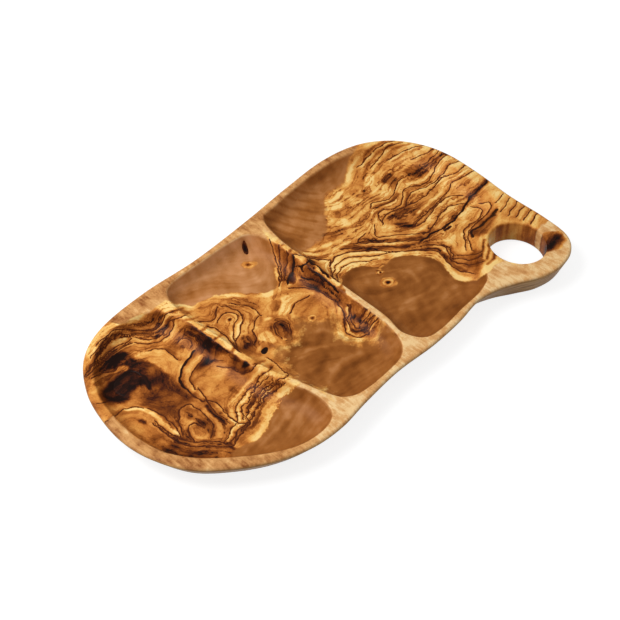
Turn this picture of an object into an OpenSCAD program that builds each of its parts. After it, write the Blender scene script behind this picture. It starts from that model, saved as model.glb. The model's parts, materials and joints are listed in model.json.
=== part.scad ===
// Three-compartment serving dish, carved from one olive-wood board, with a hand hole.
// Millimetres. Origin at the middle of the underside's bounding box, +X along the board, +Z up.

/* [Board] */
// Overall length, left end to right end
dish_len = 342; // [320:1:380]
// Overall width, far edge to the tip of the handle
dish_w = 192; // [180:1:220]
// Thickness of the board
board_t = 18; // [16:0.5:24]
// Round-over along the outer edge of the rim
edge_r = 2; // [1:0.1:3]
// Round-over along the foot
foot_r = 1.8; // [0.5:0.1:3]

/* [Side wall] */
// How far the side wall leans in from rim to foot
side_lean = 9.5; // [5:0.5:12]
// The same lean round the handle, where the side is steeper
handle_lean = 5; // [3:0.5:9]

/* [Compartments] */
// Depth of the three compartments
basin_depth = 11; // [8:0.5:13]
// Run of the hollowed wall from lip to floor
wall_run = 13; // [10:0.5:16]
// How quickly the wall falls: 1 is a straight slope, higher is steeper at the lip
wall_power = 2.2; // [1.6:0.1:2.6]
// Round-over of the lip
lip_r = 2; // [1:0.1:2.4]
// Least width of the rim beside a compartment
rim_w = 4.5; // [4:0.1:7]
// Width of the two dividers, lip to lip
divider_w = 4.8; // [4.4:0.1:8]

/* [Hand hole] */
// Width of the hole along the board
hole_w = 38; // [30:0.5:40]
// Length of the hole across the board
hole_len = 41; // [32:0.5:43]
// Round-over of the hole's edges, above and below
hole_r = 2; // [1:0.1:2.4]
// Least web between the hole and the right compartment
hole_web = 4; // [3:0.5:8]

/* [Knots] */
// How deep a loose knot sits in the board
knot_depth = 4.5; // [3:0.1:5]
// Width of a knot's lower end as a share of its face
knot_taper = 0.62; // [0.4:0.02:0.9]
// Bark line round each knot
bark_gap = 0.12; // [0.05:0.01:0.3]

/* [Hidden] */

wood = [0.78, 0.53, 0.27];
dark_wood = [0.30, 0.16, 0.08];

// Straight stretches between two drawn points of an outline
rim_steps = 3;
basin_steps = 4;
hole_sides = 48;
knot_sides = 20;
// How far a cutter stands above or below the board
over = 0.5;
// How far a socket's cutter stands above the carved surface
socket_over = 3;

// Smooth closed curve through points
function at(p, i) = p[(i + len(p)) % len(p)];
function on_curve(p, s) =
    let (i = floor(s), t = s - i, a = at(p, i - 1), b = at(p, i), c = at(p, i + 1), d = at(p, i + 2))
    b + ((c - a) * t + (2 * a - 5 * b + 4 * c - d) * t * t + (3 * b - a - 3 * c + d) * t * t * t) / 2;
function curve(p, steps) = [for (i = [0 : len(p) * steps - 1]) on_curve(p, i / steps)];
function unit(v) = v / norm(v);
function turn_left(v) = [-v.y, v.x];
function ramp(x, lo, hi) = let (t = max(0, min(1, (x - lo) / (hi - lo)))) t * t * (3 - 2 * t);

// Inward direction at point i of a loop that runs anticlockwise
function inward(loop, i) = unit(turn_left(at(loop, i + 1) - at(loop, i - 1)));
function move_in(loop, d) = [for (i = [0 : len(loop) - 1]) loop[i] + d * inward(loop, i)];

// Distance from a point to a closed loop
function seg_dist(p, a, b) =
    let (ab = b - a, t = max(0, min(1, (p - a) * ab / (ab * ab))))
    norm(p - a - t * ab);
function loop_dist(p, loop) = min([for (i = [0 : len(loop) - 1]) seg_dist(p, loop[i], at(loop, i + 1))]);

// Rim outline as drawn, anticlockwise from the left end, before it is set to the overall size
rim_drawn = [
    [-159.5, 0], [-155.5, -22], [-145.5, -43], [-128, -60.5], [-106, -75.5], [-82, -84.5], [-58, -86.8],
    [-32, -84], [0, -82], [32, -84], [60, -83.2], [82, -80.5], [100, -83.5], [115, -90], [129, -97.5],
    [146, -101], [163, -97.5], [174.5, -85.5], [178, -62], [178.5, -32], [182, 0], [182.5, 28.5],
    [176.5, 51.5], [163, 71.3], [142, 85], [112.5, 90.8], [75, 89.5], [30, 86], [-20, 84], [-65, 86.5],
    [-105, 83.6], [-131, 71.8], [-148.5, 49], [-157, 24]
];
drawn_curve = curve(rim_drawn, rim_steps);
drawn_x = [for (p = drawn_curve) p.x];
drawn_y = [for (p = drawn_curve) p.y];
drawn_mid = [max(drawn_x) + min(drawn_x), max(drawn_y) + min(drawn_y)] / 2;
stretch = [dish_len / (max(drawn_x) - min(drawn_x)), dish_w / (max(drawn_y) - min(drawn_y))];

// A drawn point in the dish's own frame
function place(p) = [(p.x - drawn_mid.x) * stretch.x, (p.y - drawn_mid.y) * stretch.y];

rim_points = [for (p = rim_drawn) place(p)];
rim_loop = curve(rim_points, rim_steps);

// A point inside the rim, w from the outline at step s of the drawn points
function in_rim(s, w) =
    let (ahead = on_curve(rim_points, s + 0.05), behind = on_curve(rim_points, s - 0.05))
    on_curve(rim_points, s) + w * unit(turn_left(ahead - behind));

// Centre lines of the two dividers, from the near edge to the far edge
left_divider = [[-48.5, -58], [-53.2, -40], [-58.5, -21], [-60.2, 0], [-61.4, 25], [-63.1, 53]];
right_divider = [[24.2, -62.5], [27.5, -45], [28.4, -20], [29.1, 0], [30.2, 24], [30.8, 53]];
// The divider's edge beside drawn point i: side is -1 for its left edge, 1 for its right
function beside(line, i, side) = place(line[i]) + [side * divider_w / 2, 0];

hole_mid = place([144.2, -65.9]);
hole_half = [hole_w, hole_len] / 2;
// A point of the right compartment's edge that goes round the hole at the given angle
function round_hole(angle, extra) =
    let (reach = hole_r + hole_web + extra)
    hole_mid + [(hole_half.x + reach) * cos(angle), (hole_half.y + reach) * sin(angle)];

// Compartment outlines, anticlockwise
left_loop = curve([
    in_rim(33.8, rim_w + 3.5), in_rim(1, rim_w + 3.3), in_rim(2, rim_w + 4.5), in_rim(3, rim_w + 4),
    in_rim(4, rim_w + 2.2), in_rim(4.85, rim_w + 0.5), in_rim(5.7, rim_w + 2), in_rim(6.2, rim_w + 8.1),
    beside(left_divider, 0, -1), beside(left_divider, 1, -1), beside(left_divider, 2, -1),
    beside(left_divider, 3, -1), beside(left_divider, 4, -1), beside(left_divider, 5, -1),
    in_rim(29.2, rim_w + 13), in_rim(29.7, rim_w + 5.5), in_rim(30.4, rim_w + 2.8),
    in_rim(31.35, rim_w + 2.2), in_rim(32.4, rim_w + 2)
], basin_steps);
middle_loop = curve([
    beside(left_divider, 3, 1), beside(left_divider, 2, 1), beside(left_divider, 1, 1),
    beside(left_divider, 0, 1), in_rim(6.75, rim_w + 9.4), in_rim(7.15, rim_w + 1.8), in_rim(8, rim_w),
    in_rim(8.4, rim_w + 4.5), beside(right_divider, 0, -1), beside(right_divider, 1, -1),
    beside(right_divider, 2, -1), beside(right_divider, 3, -1), beside(right_divider, 4, -1),
    beside(right_divider, 5, -1), in_rim(27.15, rim_w + 7.5), in_rim(27.45, rim_w + 1.5),
    in_rim(28, rim_w), in_rim(28.55, rim_w + 1.5), in_rim(28.8, rim_w + 9),
    beside(left_divider, 5, 1), beside(left_divider, 4, 1)
], basin_steps);
right_loop = curve([
    beside(right_divider, 3, 1), beside(right_divider, 2, 1), beside(right_divider, 1, 1),
    beside(right_divider, 0, 1), in_rim(9.05, rim_w + 3.3), in_rim(9.55, rim_w + 0.3),
    in_rim(10.45, rim_w), in_rim(11.4, rim_w + 0.5), round_hole(187, 15), round_hole(168, 8.5),
    round_hole(140, 3), round_hole(108, 0.5), round_hole(76, 2), round_hole(58, 12),
    in_rim(19.5, rim_w + 5), in_rim(20.1, rim_w + 5.5), in_rim(20.9, rim_w + 3.5),
    in_rim(21.65, rim_w + 2), in_rim(22.7, rim_w + 1), in_rim(23.7, rim_w + 1.8),
    in_rim(24.8, rim_w + 1.8), in_rim(25.75, rim_w + 1), in_rim(26.45, rim_w + 1.7),
    in_rim(26.8, rim_w + 4), beside(right_divider, 5, 1), beside(right_divider, 4, 1)
], basin_steps);

// Middle line of each compartment's floor, from which the wall's sections fan out
left_heart = [place([-100, -22]), place([-96, 28])];
middle_heart = [place([-10, -36]), place([-15, 40])];
right_heart = [place([66, -32]), place([112, 28])];

// Depth below the rim at a distance d inside a compartment's outline
function hollow(d) = basin_depth * (1 - pow(1 - min(d, wall_run) / wall_run, wall_power));
function basin_z(p, loop) = board_t - hollow(loop_dist(p, loop));
function nearest(p, line) =
    let (ab = line[1] - line[0], t = max(0, min(1, (p - line[0]) * ab / (ab * ab))))
    line[0] + t * ab;

// Rounded edge that turns down by an angle: rings as [distance past the edge, height below the face]
function lip(turn, r) =
    let (start = r * tan(turn / 2), rise = r * (1 - cos(turn / 3)), run = r * sin(turn / 3))
    concat([[-start - over * run / rise, -over]],
           [for (k = [1 : 3]) [r * sin(turn * k / 3) - start, r * (1 - cos(turn * k / 3))]]);

wall_turn = atan(wall_power * basin_depth / wall_run);
wall_stops = [0.16, 0.32, 0.52, 0.78, 1.15];

function lift(loop, z) = [for (p = loop) [p.x, p.y, z]];
function flat(rings) = [for (ring = rings) for (p = ring) p];
function upward(rings) = [for (k = [len(rings) - 1 : -1 : 0]) rings[k]];

// Closed solid through rings of equal count, lowest first, capped at a middle point at each end
module loft(rings, low_mid, high_mid) {
    n = len(rings[0]);
    m = len(rings);
    last = n * m;
    polyhedron(
        points = concat(flat(rings), [low_mid, high_mid]),
        faces = concat(
            [for (k = [0 : m - 2]) for (i = [0 : n - 1])
                [k * n + i, k * n + n + i, k * n + n + (i + 1) % n]],
            [for (k = [0 : m - 2]) for (i = [0 : n - 1])
                [k * n + i, k * n + n + (i + 1) % n, k * n + (i + 1) % n]],
            [for (i = [0 : n - 1]) [last, i, (i + 1) % n]],
            [for (i = [0 : n - 1]) [last + 1, last - n + (i + 1) % n, last - n + i]]
        )
    );
}

// Lean of the side wall at a point of the rim: less round the handle
handle_from = place([80, -40]);
handle_full = place([120, -80]);
function lean_at(p) =
    side_lean + (handle_lean - side_lean) * ramp(p.x, handle_from.x, handle_full.x)
    * ramp(-p.y, -handle_from.y, -handle_full.y);

// Share of the lean and the extra inset at each height of the side, from the foot up
side_top = board_t - edge_r;
side_profile = concat(
    [[0, 1, foot_r], [foot_r * 0.25, 1, foot_r * 0.35], [foot_r, 0.97, 0]],
    [[side_top * 0.4, 0.66, 0], [side_top * 0.72, 0.3, 0], [side_top, 0, 0]],
    [for (a = [30, 60, 90]) [side_top + edge_r * sin(a), 0, edge_r * (1 - cos(a))]]
);

// The board before it is hollowed: side wall leaning in to a flat foot, edges rounded
module board() {
    rings = [for (s = side_profile) [for (i = [0 : len(rim_loop) - 1])
        let (p = rim_loop[i], q = p + (lean_at(p) * s[1] + s[2]) * inward(rim_loop, i)) [q.x, q.y, s[0]]]];
    loft(rings, [0, 0, 0], [0, 0, board_t]);
}

// The hollow of one compartment: rounded lip, scooped wall and flat floor
module hollow_of(loop, heart) {
    lip_rings = [for (s = lip(wall_turn, lip_r)) lift(move_in(loop, s[0]), board_t - s[1])];
    first = move_in(loop, wall_stops[0] * wall_run);
    wall_rings = [for (stop = wall_stops) [for (i = [0 : len(loop) - 1])
        let (p = first[i], to = unit(nearest(p, heart) - p),
             q = p + to * (stop - wall_stops[0]) * wall_run * 1.12)
        [q.x, q.y, basin_z(q, loop)]]];
    mid = (heart[0] + heart[1]) / 2;
    rings = concat(upward(wall_rings), upward(lip_rings));
    loft(rings, [mid.x, mid.y, board_t - basin_depth], [mid.x, mid.y, board_t + over]);
}

// The oval hole through the handle, rounded at both faces
module hand_hole() {
    edge = lip(90, hole_r);
    stops = concat(edge, [for (k = [3 : -1 : 0]) [edge[k][0], board_t - edge[k][1]]]);
    rings = [for (s = upward(stops)) [for (i = [0 : hole_sides - 1])
        let (a = 360 * i / hole_sides)
        [hole_mid.x + (hole_half.x - s[0]) * cos(a), hole_mid.y + (hole_half.y - s[0]) * sin(a), board_t - s[1]]]];
    loft(rings, [hole_mid.x, hole_mid.y, -over], [hole_mid.x, hole_mid.y, board_t + over]);
}

// Knots: name, middle as drawn, half length, half width, angle of the long axis, compartment
knots = [
    ["left_end_knot", [-121.3, 41.5], 10.5, 8.5, 25, left_loop],
    ["left_ring_knot", [-114.6, -19], 6.5, 5.5, -40, left_loop],
    ["middle_far_eye", [-36.8, 34.3], 3.4, 2.8, 0, middle_loop],
    ["middle_black_eye", [-40.4, -1.9], 3.2, 2, 20, middle_loop],
    ["middle_floor_eye", [2.2, -4.6], 3.2, 3, 0, middle_loop],
    ["middle_wall_knot", [15.6, 72], 3.6, 2, 60, middle_loop],
    ["middle_pin_knot", [8.2, 61.4], 4.6, 3, -40, middle_loop],
    ["divider_bark_knot", [18.4, 30], 4.8, 3.2, 50, middle_loop],
    ["divider_lower_knot", [20.4, -29.5], 3, 2.4, -30, middle_loop],
    ["right_small_eye", [65.4, -9.3], 2, 1.8, 0, right_loop],
    ["right_large_eye", [62.1, -19.5], 4, 3.2, -25, right_loop],
    ["handle_knot", [166.6, -83.6], 3.6, 3, 30, []]
];
function knot_named(name) = [for (k = knots) if (k[0] == name) k][0];

// A knot's tapered body: its face follows the carved surface and its lower end is flat.
// grow widens it all round, and raise runs its side on in the same line past the surface.
module knot_solid(knot, grow, raise) {
    mid = place(knot[1]);
    face_z = function (p) len(knot[5]) > 0 ? basin_z(p, knot[5]) : board_t;
    low_z = face_z(mid) - knot_depth;
    spot = function (share, i)
        let (a = 360 * i / knot_sides, uneven = share * (1 + 0.06 * cos(3 * a + knot[4])),
             u = (knot[2] * uneven + grow) * cos(a), v = (knot[3] * uneven + grow) * sin(a))
        mid + [u * cos(knot[4]) - v * sin(knot[4]), u * sin(knot[4]) + v * cos(knot[4])];
    low = [for (i = [0 : knot_sides - 1]) let (p = spot(knot_taper, i)) [p.x, p.y, low_z]];
    face = [for (i = [0 : knot_sides - 1])
        let (z = face_z(spot(1, i)), p = spot(1 + (1 - knot_taper) * raise / (z - low_z), i))
        [p.x, p.y, z + raise]];
    inner = [for (i = [0 : knot_sides - 1]) let (p = spot(0.5, i)) [p.x, p.y, face_z(p) + raise]];
    loft([low, face, inner], [mid.x, mid.y, low_z], [mid.x, mid.y, face_z(mid) + raise]);
}

// One knot as its own piece, seated on the floor of its socket
module knot(name) {
    color(dark_wood) knot_solid(knot_named(name), 0, 0);
}

// The carved board: three hollows, the hand hole and a socket for each loose knot
module dish_body() {
    color(wood) difference() {
        board();
        hollow_of(left_loop, left_heart);
        hollow_of(middle_loop, middle_heart);
        hollow_of(right_loop, right_heart);
        hand_hole();
        for (k = knots) knot_solid(k, bark_gap, socket_over);
    }
}

dish_body();
knot("left_end_knot");  // left_end_knot
knot("left_ring_knot");  // left_ring_knot
knot("middle_far_eye");  // middle_far_eye
knot("middle_black_eye");  // middle_black_eye
knot("middle_floor_eye");  // middle_floor_eye
knot("middle_wall_knot");  // middle_wall_knot
knot("middle_pin_knot");  // middle_pin_knot
knot("divider_bark_knot");  // divider_bark_knot
knot("divider_lower_knot");  // divider_lower_knot
knot("right_small_eye");  // right_small_eye
knot("right_large_eye");  // right_large_eye
knot("handle_knot");  // handle_knot
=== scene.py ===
import json
import bpy
import numpy as np
from mathutils import Matrix, Vector
from mathutils.geometry import delaunay_2d_cdt

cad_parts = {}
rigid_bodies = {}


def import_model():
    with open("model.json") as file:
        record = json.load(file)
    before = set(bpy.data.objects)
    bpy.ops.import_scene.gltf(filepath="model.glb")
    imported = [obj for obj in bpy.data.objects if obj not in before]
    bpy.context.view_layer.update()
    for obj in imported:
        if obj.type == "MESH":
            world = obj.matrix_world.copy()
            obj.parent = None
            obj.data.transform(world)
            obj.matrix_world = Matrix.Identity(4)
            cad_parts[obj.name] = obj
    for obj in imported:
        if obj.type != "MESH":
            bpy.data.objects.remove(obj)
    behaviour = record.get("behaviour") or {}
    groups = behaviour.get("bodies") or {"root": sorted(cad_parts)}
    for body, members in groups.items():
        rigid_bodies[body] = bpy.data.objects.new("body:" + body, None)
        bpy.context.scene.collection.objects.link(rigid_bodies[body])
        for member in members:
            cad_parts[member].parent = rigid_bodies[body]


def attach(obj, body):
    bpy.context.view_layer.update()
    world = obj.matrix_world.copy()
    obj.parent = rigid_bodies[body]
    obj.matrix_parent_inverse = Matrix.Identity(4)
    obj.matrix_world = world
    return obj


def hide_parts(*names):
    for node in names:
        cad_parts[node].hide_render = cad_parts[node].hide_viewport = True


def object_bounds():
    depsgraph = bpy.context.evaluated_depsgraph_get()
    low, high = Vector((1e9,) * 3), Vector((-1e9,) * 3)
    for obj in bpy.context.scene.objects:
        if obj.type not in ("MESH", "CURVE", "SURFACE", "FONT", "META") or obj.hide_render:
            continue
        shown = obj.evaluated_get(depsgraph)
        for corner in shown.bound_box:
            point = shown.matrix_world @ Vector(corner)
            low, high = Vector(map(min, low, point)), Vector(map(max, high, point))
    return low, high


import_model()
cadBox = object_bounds()
mm = 0.001
cadSize = (np.array(cadBox[1]) - np.array(cadBox[0])) / mm
print("frame loaded, board", cadSize.round(1), "mm")


# Curves

def onCurve(points, s):
    # uniform cubic through a closed loop of points, s counted in points
    i = np.floor(s).astype(int)
    t = (s - i)[:, None]
    a, b, c, d = (points[(i + k) % len(points)] for k in (-1, 0, 1, 2))
    return b + ((c - a) * t + (2 * a - 5 * b + 4 * c - d) * t**2 + (3 * b - a - 3 * c + d) * t**3) / 2


def closedCurve(points, steps):
    points = np.asarray(points, float)
    return onCurve(points, np.arange(len(points) * steps) / steps)


def openCurve(points, steps):
    # the same cubic, with each end carried on in a straight line
    p = np.asarray(points, float)
    p = np.vstack([2 * p[0] - p[1], p, 2 * p[-1] - p[-2]])
    return onCurve(p, 1 + np.linspace(0, len(p) - 3 - 1e-6, (len(p) - 3) * steps + 1))


def leftNormal(loop):
    # unit vector to the left of a closed loop at each point: inwards where it runs anticlockwise
    along = np.roll(loop, -1, 0) - np.roll(loop, 1, 0)
    return np.stack([-along[:, 1], along[:, 0]], 1) / np.linalg.norm(along, axis=1)[:, None]


def pathDistance(p, path):
    # distance from each point to a chain of straight stretches, and whether it lies left of the nearest one
    best = np.full(len(p), 1e9)
    left = np.zeros(len(p), bool)
    for a, b in zip(path[:-1], path[1:]):
        ab = b - a
        x, y = p[:, 0] - a[0], p[:, 1] - a[1]
        t = np.clip((x * ab[0] + y * ab[1]) / max(ab @ ab, 1e-9), 0, 1)
        distance = np.hypot(x - t * ab[0], y - t * ab[1])
        nearer = distance < best
        best[nearer] = distance[nearer]
        left[nearer] = (ab[0] * y - ab[1] * x)[nearer] > 0
    return best, left


def nearBox(p, path, reach):
    # which points lie within reach of a path's bounding box
    low, high = path.min(0) - reach, path.max(0) + reach
    return np.flatnonzero((p > low).all(1) & (p < high).all(1))


def insideLoop(p, loop):
    # even-odd count of the loop's crossings to the right of each point
    inside = np.zeros(len(p), bool)
    for a, b in zip(loop, np.roll(loop, -1, 0)):
        if a[1] != b[1]:
            across = (a[1] > p[:, 1]) != (b[1] > p[:, 1])
            inside ^= across & (p[:, 0] < (b[0] - a[0]) * (p[:, 1] - a[1]) / (b[1] - a[1]) + a[0])
    return inside


def loopDepth(p, loop):
    # signed distance to a closed loop, positive inside
    distance, _ = pathDistance(p, np.vstack([loop, loop[:1]]))
    return np.where(insideLoop(p, loop), distance, -distance)


def smooth(x, low, high):
    t = np.clip((x - low) / (high - low), 0, 1)
    return t * t * (3 - 2 * t)


# Outlines of the board, as its solid has them

board = {
    "thick": 18, "edge": 2, "foot": 1.8, "lean": 9.5, "handleLean": 5,
    "rim": 4.5, "divider": 4.8, "depth": 11, "wallRun": 13, "wallPower": 2.2, "lip": 2,
    "holeHalf": (19, 20.5), "holeEdge": 2, "holeWeb": 4,
    "grid": 0.9,  # spacing of the carved surface's points
    "footGrid": 2.4,
    "away": 20.0,  # a compartment further off than this counts as far
}
rimDrawn = np.array([
    (-159.5, 0), (-155.5, -22), (-145.5, -43), (-128, -60.5), (-106, -75.5), (-82, -84.5), (-58, -86.8),
    (-32, -84), (0, -82), (32, -84), (60, -83.2), (82, -80.5), (100, -83.5), (115, -90), (129, -97.5),
    (146, -101), (163, -97.5), (174.5, -85.5), (178, -62), (178.5, -32), (182, 0), (182.5, 28.5),
    (176.5, 51.5), (163, 71.3), (142, 85), (112.5, 90.8), (75, 89.5), (30, 86), (-20, 84), (-65, 86.5),
    (-105, 83.6), (-131, 71.8), (-148.5, 49), (-157, 24)])
drawnCurve = closedCurve(rimDrawn, 3)
drawnMid = (drawnCurve.max(0) + drawnCurve.min(0)) / 2
stretch = cadSize[:2] / (drawnCurve.max(0) - drawnCurve.min(0))


def place(p):
    return (np.asarray(p, float) - drawnMid) * stretch


rimPoints = place(rimDrawn)


def inRim(s, extra):
    s = np.array([s])
    along = onCurve(rimPoints, s + 0.05) - onCurve(rimPoints, s - 0.05)
    inward = np.array([-along[0, 1], along[0, 0]]) / np.linalg.norm(along)
    return onCurve(rimPoints, s)[0] + (board["rim"] + extra) * inward


leftDivider = [(-48.5, -58), (-53.2, -40), (-58.5, -21), (-60.2, 0), (-61.4, 25), (-63.1, 53)]
rightDivider = [(24.2, -62.5), (27.5, -45), (28.4, -20), (29.1, 0), (30.2, 24), (30.8, 53)]
holeMid = place((144.2, -65.9))
holeHalf = np.array(board["holeHalf"])


def besideLine(line, i, side):
    return place(line[i]) + np.array([side * board["divider"] / 2, 0])


def roundHole(angle, extra):
    a = np.radians(angle)
    return holeMid + (holeHalf + board["holeEdge"] + board["holeWeb"] + extra) * [np.cos(a), np.sin(a)]


leftEdge = [
    inRim(33.8, 3.5), inRim(1, 3.3), inRim(2, 4.5), inRim(3, 4), inRim(4, 2.2), inRim(4.85, 0.5),
    inRim(5.7, 2), inRim(6.2, 8.1), *(besideLine(leftDivider, i, -1) for i in range(6)),
    inRim(29.2, 13), inRim(29.7, 5.5), inRim(30.4, 2.8), inRim(31.35, 2.2), inRim(32.4, 2)]
middleEdge = [
    *(besideLine(leftDivider, i, 1) for i in (3, 2, 1, 0)), inRim(6.75, 9.4), inRim(7.15, 1.8), inRim(8, 0),
    inRim(8.4, 4.5), *(besideLine(rightDivider, i, -1) for i in range(6)), inRim(27.15, 7.5),
    inRim(27.45, 1.5), inRim(28, 0), inRim(28.55, 1.5), inRim(28.8, 9),
    besideLine(leftDivider, 5, 1), besideLine(leftDivider, 4, 1)]
rightEdge = [
    *(besideLine(rightDivider, i, 1) for i in (3, 2, 1, 0)), inRim(9.05, 3.3), inRim(9.55, 0.3),
    inRim(10.45, 0), inRim(11.4, 0.5), roundHole(187, 15), roundHole(168, 8.5), roundHole(140, 3),
    roundHole(108, 0.5), roundHole(76, 2), roundHole(58, 12), inRim(19.5, 5), inRim(20.1, 5.5),
    inRim(20.9, 3.5), inRim(21.65, 2), inRim(22.7, 1), inRim(23.7, 1.8), inRim(24.8, 1.8),
    inRim(25.75, 1), inRim(26.45, 1.7), inRim(26.8, 4), besideLine(rightDivider, 5, 1),
    besideLine(rightDivider, 4, 1)]
basins = [closedCurve(edge, 8) for edge in (leftEdge, middleEdge, rightEdge)]


def hollow(s):
    # depth below the rim at a distance s inside a compartment's edge: an arc over the lip, then the scoop
    turn = np.arctan(board["wallPower"] * board["depth"] / board["wallRun"])
    start = board["lip"] * np.tan(turn / 2)
    run = np.clip(s + start, 0, board["lip"] * 0.999)
    arc = board["lip"] - np.sqrt(board["lip"]**2 - run**2)
    rest = 1 - np.clip(s, 0, board["wallRun"]) / board["wallRun"]
    scoop = board["depth"] * (1 - rest**board["wallPower"])
    return np.where(s < board["lip"] * np.sin(turn) - start, arc, scoop)


def basinDepth(p):
    # signed distance to the nearest compartment's edge, positive inside a compartment
    inside = np.full(len(p), -board["away"])
    for loop in basins:
        near = nearBox(p, loop, board["away"])
        inside[near] = np.maximum(inside[near], loopDepth(p[near], loop))
    return inside


print("outlines drawn")

# Loose knots: middle as drawn, half length, half width, angle, tone at the heart and the edge, and how far
# the edge takes the tone of the wood round it

knots = {
    "left_end_knot": ((-121.3, 41.5), 10.5, 8.5, 25, 0.92, 0.84, 1.0),
    "left_ring_knot": ((-114.6, -19), 6.5, 5.5, -40, 0.42, 0.5, 0.8),
    "middle_far_eye": ((-36.8, 34.3), 3.4, 2.8, 0, 0.9, 0.3, 0.8),
    "middle_black_eye": ((-40.4, -1.9), 3.2, 2, 20, 1.0, 0.95, 0.0),
    "middle_floor_eye": ((2.2, -4.6), 3.2, 3, 0, 0.9, 0.3, 0.3),
    "middle_wall_knot": ((15.6, 72), 3.6, 2, 60, 0.86, 0.66, 0.0),
    "middle_pin_knot": ((8.2, 61.4), 4.6, 3, -40, 0.75, 0.3, 0.0),
    "divider_bark_knot": ((18.4, 30), 4.8, 3.2, 50, 1.0, 0.94, 0.5),
    "divider_lower_knot": ((20.4, -29.5), 3, 2.4, -30, 0.95, 0.8, 0.8),
    "right_small_eye": ((65.4, -9.3), 2, 1.8, 0, 0.95, 0.15, 0.0),
    "right_large_eye": ((62.1, -19.5), 4, 3.2, -25, 0.95, 0.14, 0.0),
    "handle_knot": ((166.6, -83.6), 3.6, 3, 30, 0.98, 0.86, 1.0),
}
socket = {"depth": 4.5, "taper": 0.62, "gap": 0.12, "spacing": 0.6, "uneven": 0.06, "edgeDrop": 0.12}


def knotRing(name, share, grow):
    # uneven oval round the knot's middle, a share of its face in size, widened all round by grow
    middle, half, halfWide, angle = knots[name][:4]
    count = int(max(24, 2 * np.pi * half / socket["spacing"]))
    a = np.linspace(0, 2 * np.pi, count, endpoint=False)
    turn = np.radians(angle)
    c, s = np.cos(turn), np.sin(turn)
    uneven = share * (1 + socket["uneven"] * np.cos(3 * a + turn))
    u = (half * uneven + grow) * np.cos(a)
    v = (halfWide * uneven + grow) * np.sin(a)
    return place(middle) + np.stack([u * c - v * s, u * s + v * c], 1)


def carvedZ(p):
    return board["thick"] - hollow(basinDepth(p))


# Figure of the wood, drawn on the board's plan in millimetres as it is seen over the rim.
# Plain zones are sapwood without rings: strength of the cream band outside, softness of the edge,
# how light the zone is, outline.
plainZones = [
    (0.32, 1, 0.8, [(-54, 55), (-46, 53), (-36, 51), (-25, 43), (-19, 36), (-10, 27), (-3, 25), (2, 28),
                    (10, 38),
                    (18, 47), (25.5, 58), (30, 66), (30, 95), (-62, 95), (-60, 66)]),
    (0.1, 2.5, 0.6, [(33, 36), (48, 35), (60, 37.5), (66, 41), (72, 48), (80, 55), (86, 62.5), (98, 63.5),
                     (108, 62.5),
                      (114, 67), (123, 73.5), (131, 78), (140, 81), (140, 100), (31, 100), (31, 60)]),
    (0.32, 1, 0.36, [(27, -12), (31, -6), (35, -1.5), (41, 0.5), (48, 0.5), (54, -3), (58, -9), (61, -13),
                     (66, -14),
                     (73, -13), (80, -16.5), (86, -22), (91, -29), (94, -36), (93, -44), (89.5, -52),
                     (88.5, -58),
                     (91, -65), (97, -69), (125, -69), (125, -110), (24, -110), (24, -60)]),
    (0.12, 7, 0.4, [(-54, -48), (-50, -36), (-47, -18), (-41, -15), (-36, -19), (-32, -15.5), (-28, -18),
                    (-21, -12),
                     (-17, -6), (-12, -5), (-9, -14), (-4, -18), (3, -19), (5, -24), (-2, -31), (-5, -38),
                     (-3.5, -45),
                     (2, -51), (9, -56.5), (18, -52), (26, -46.5), (27, -60), (24, -110), (-50, -110),
                     (-47, -60)]),
    (0.34, 1, 0.5, [(-122, -54), (-116, -53), (-109, -55.5), (-99, -57.6), (-92, -54.8), (-85.5, -51.6),
                    (-80, -49.2),
                     (-73.5, -48), (-68, -44.8), (-59, -45.6), (-53, -44.4), (-50, -43), (-47, -60),
                     (-50, -110),
                     (-140, -110), (-130, -60)]),
]
# where heartwood runs out over the rim: right end, handle's corner, far left corner
heartRims = [
    [(133, 79), (150, 95), (200, 95), (200, -68), (98, -67), (110, -50), (140, -30), (140, 60)],
    [(148, -80), (156, -73), (166, -73), (173, -80), (171, -88), (162, -91), (152, -88)],
    [(-170, 22), (-150, 21), (-136, 30), (-110, 60), (-97, 70), (-98, 80), (-104, 92), (-170, 92)],
]
rimReach = 16  # how far in from the outline the rim stays sapwood

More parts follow.
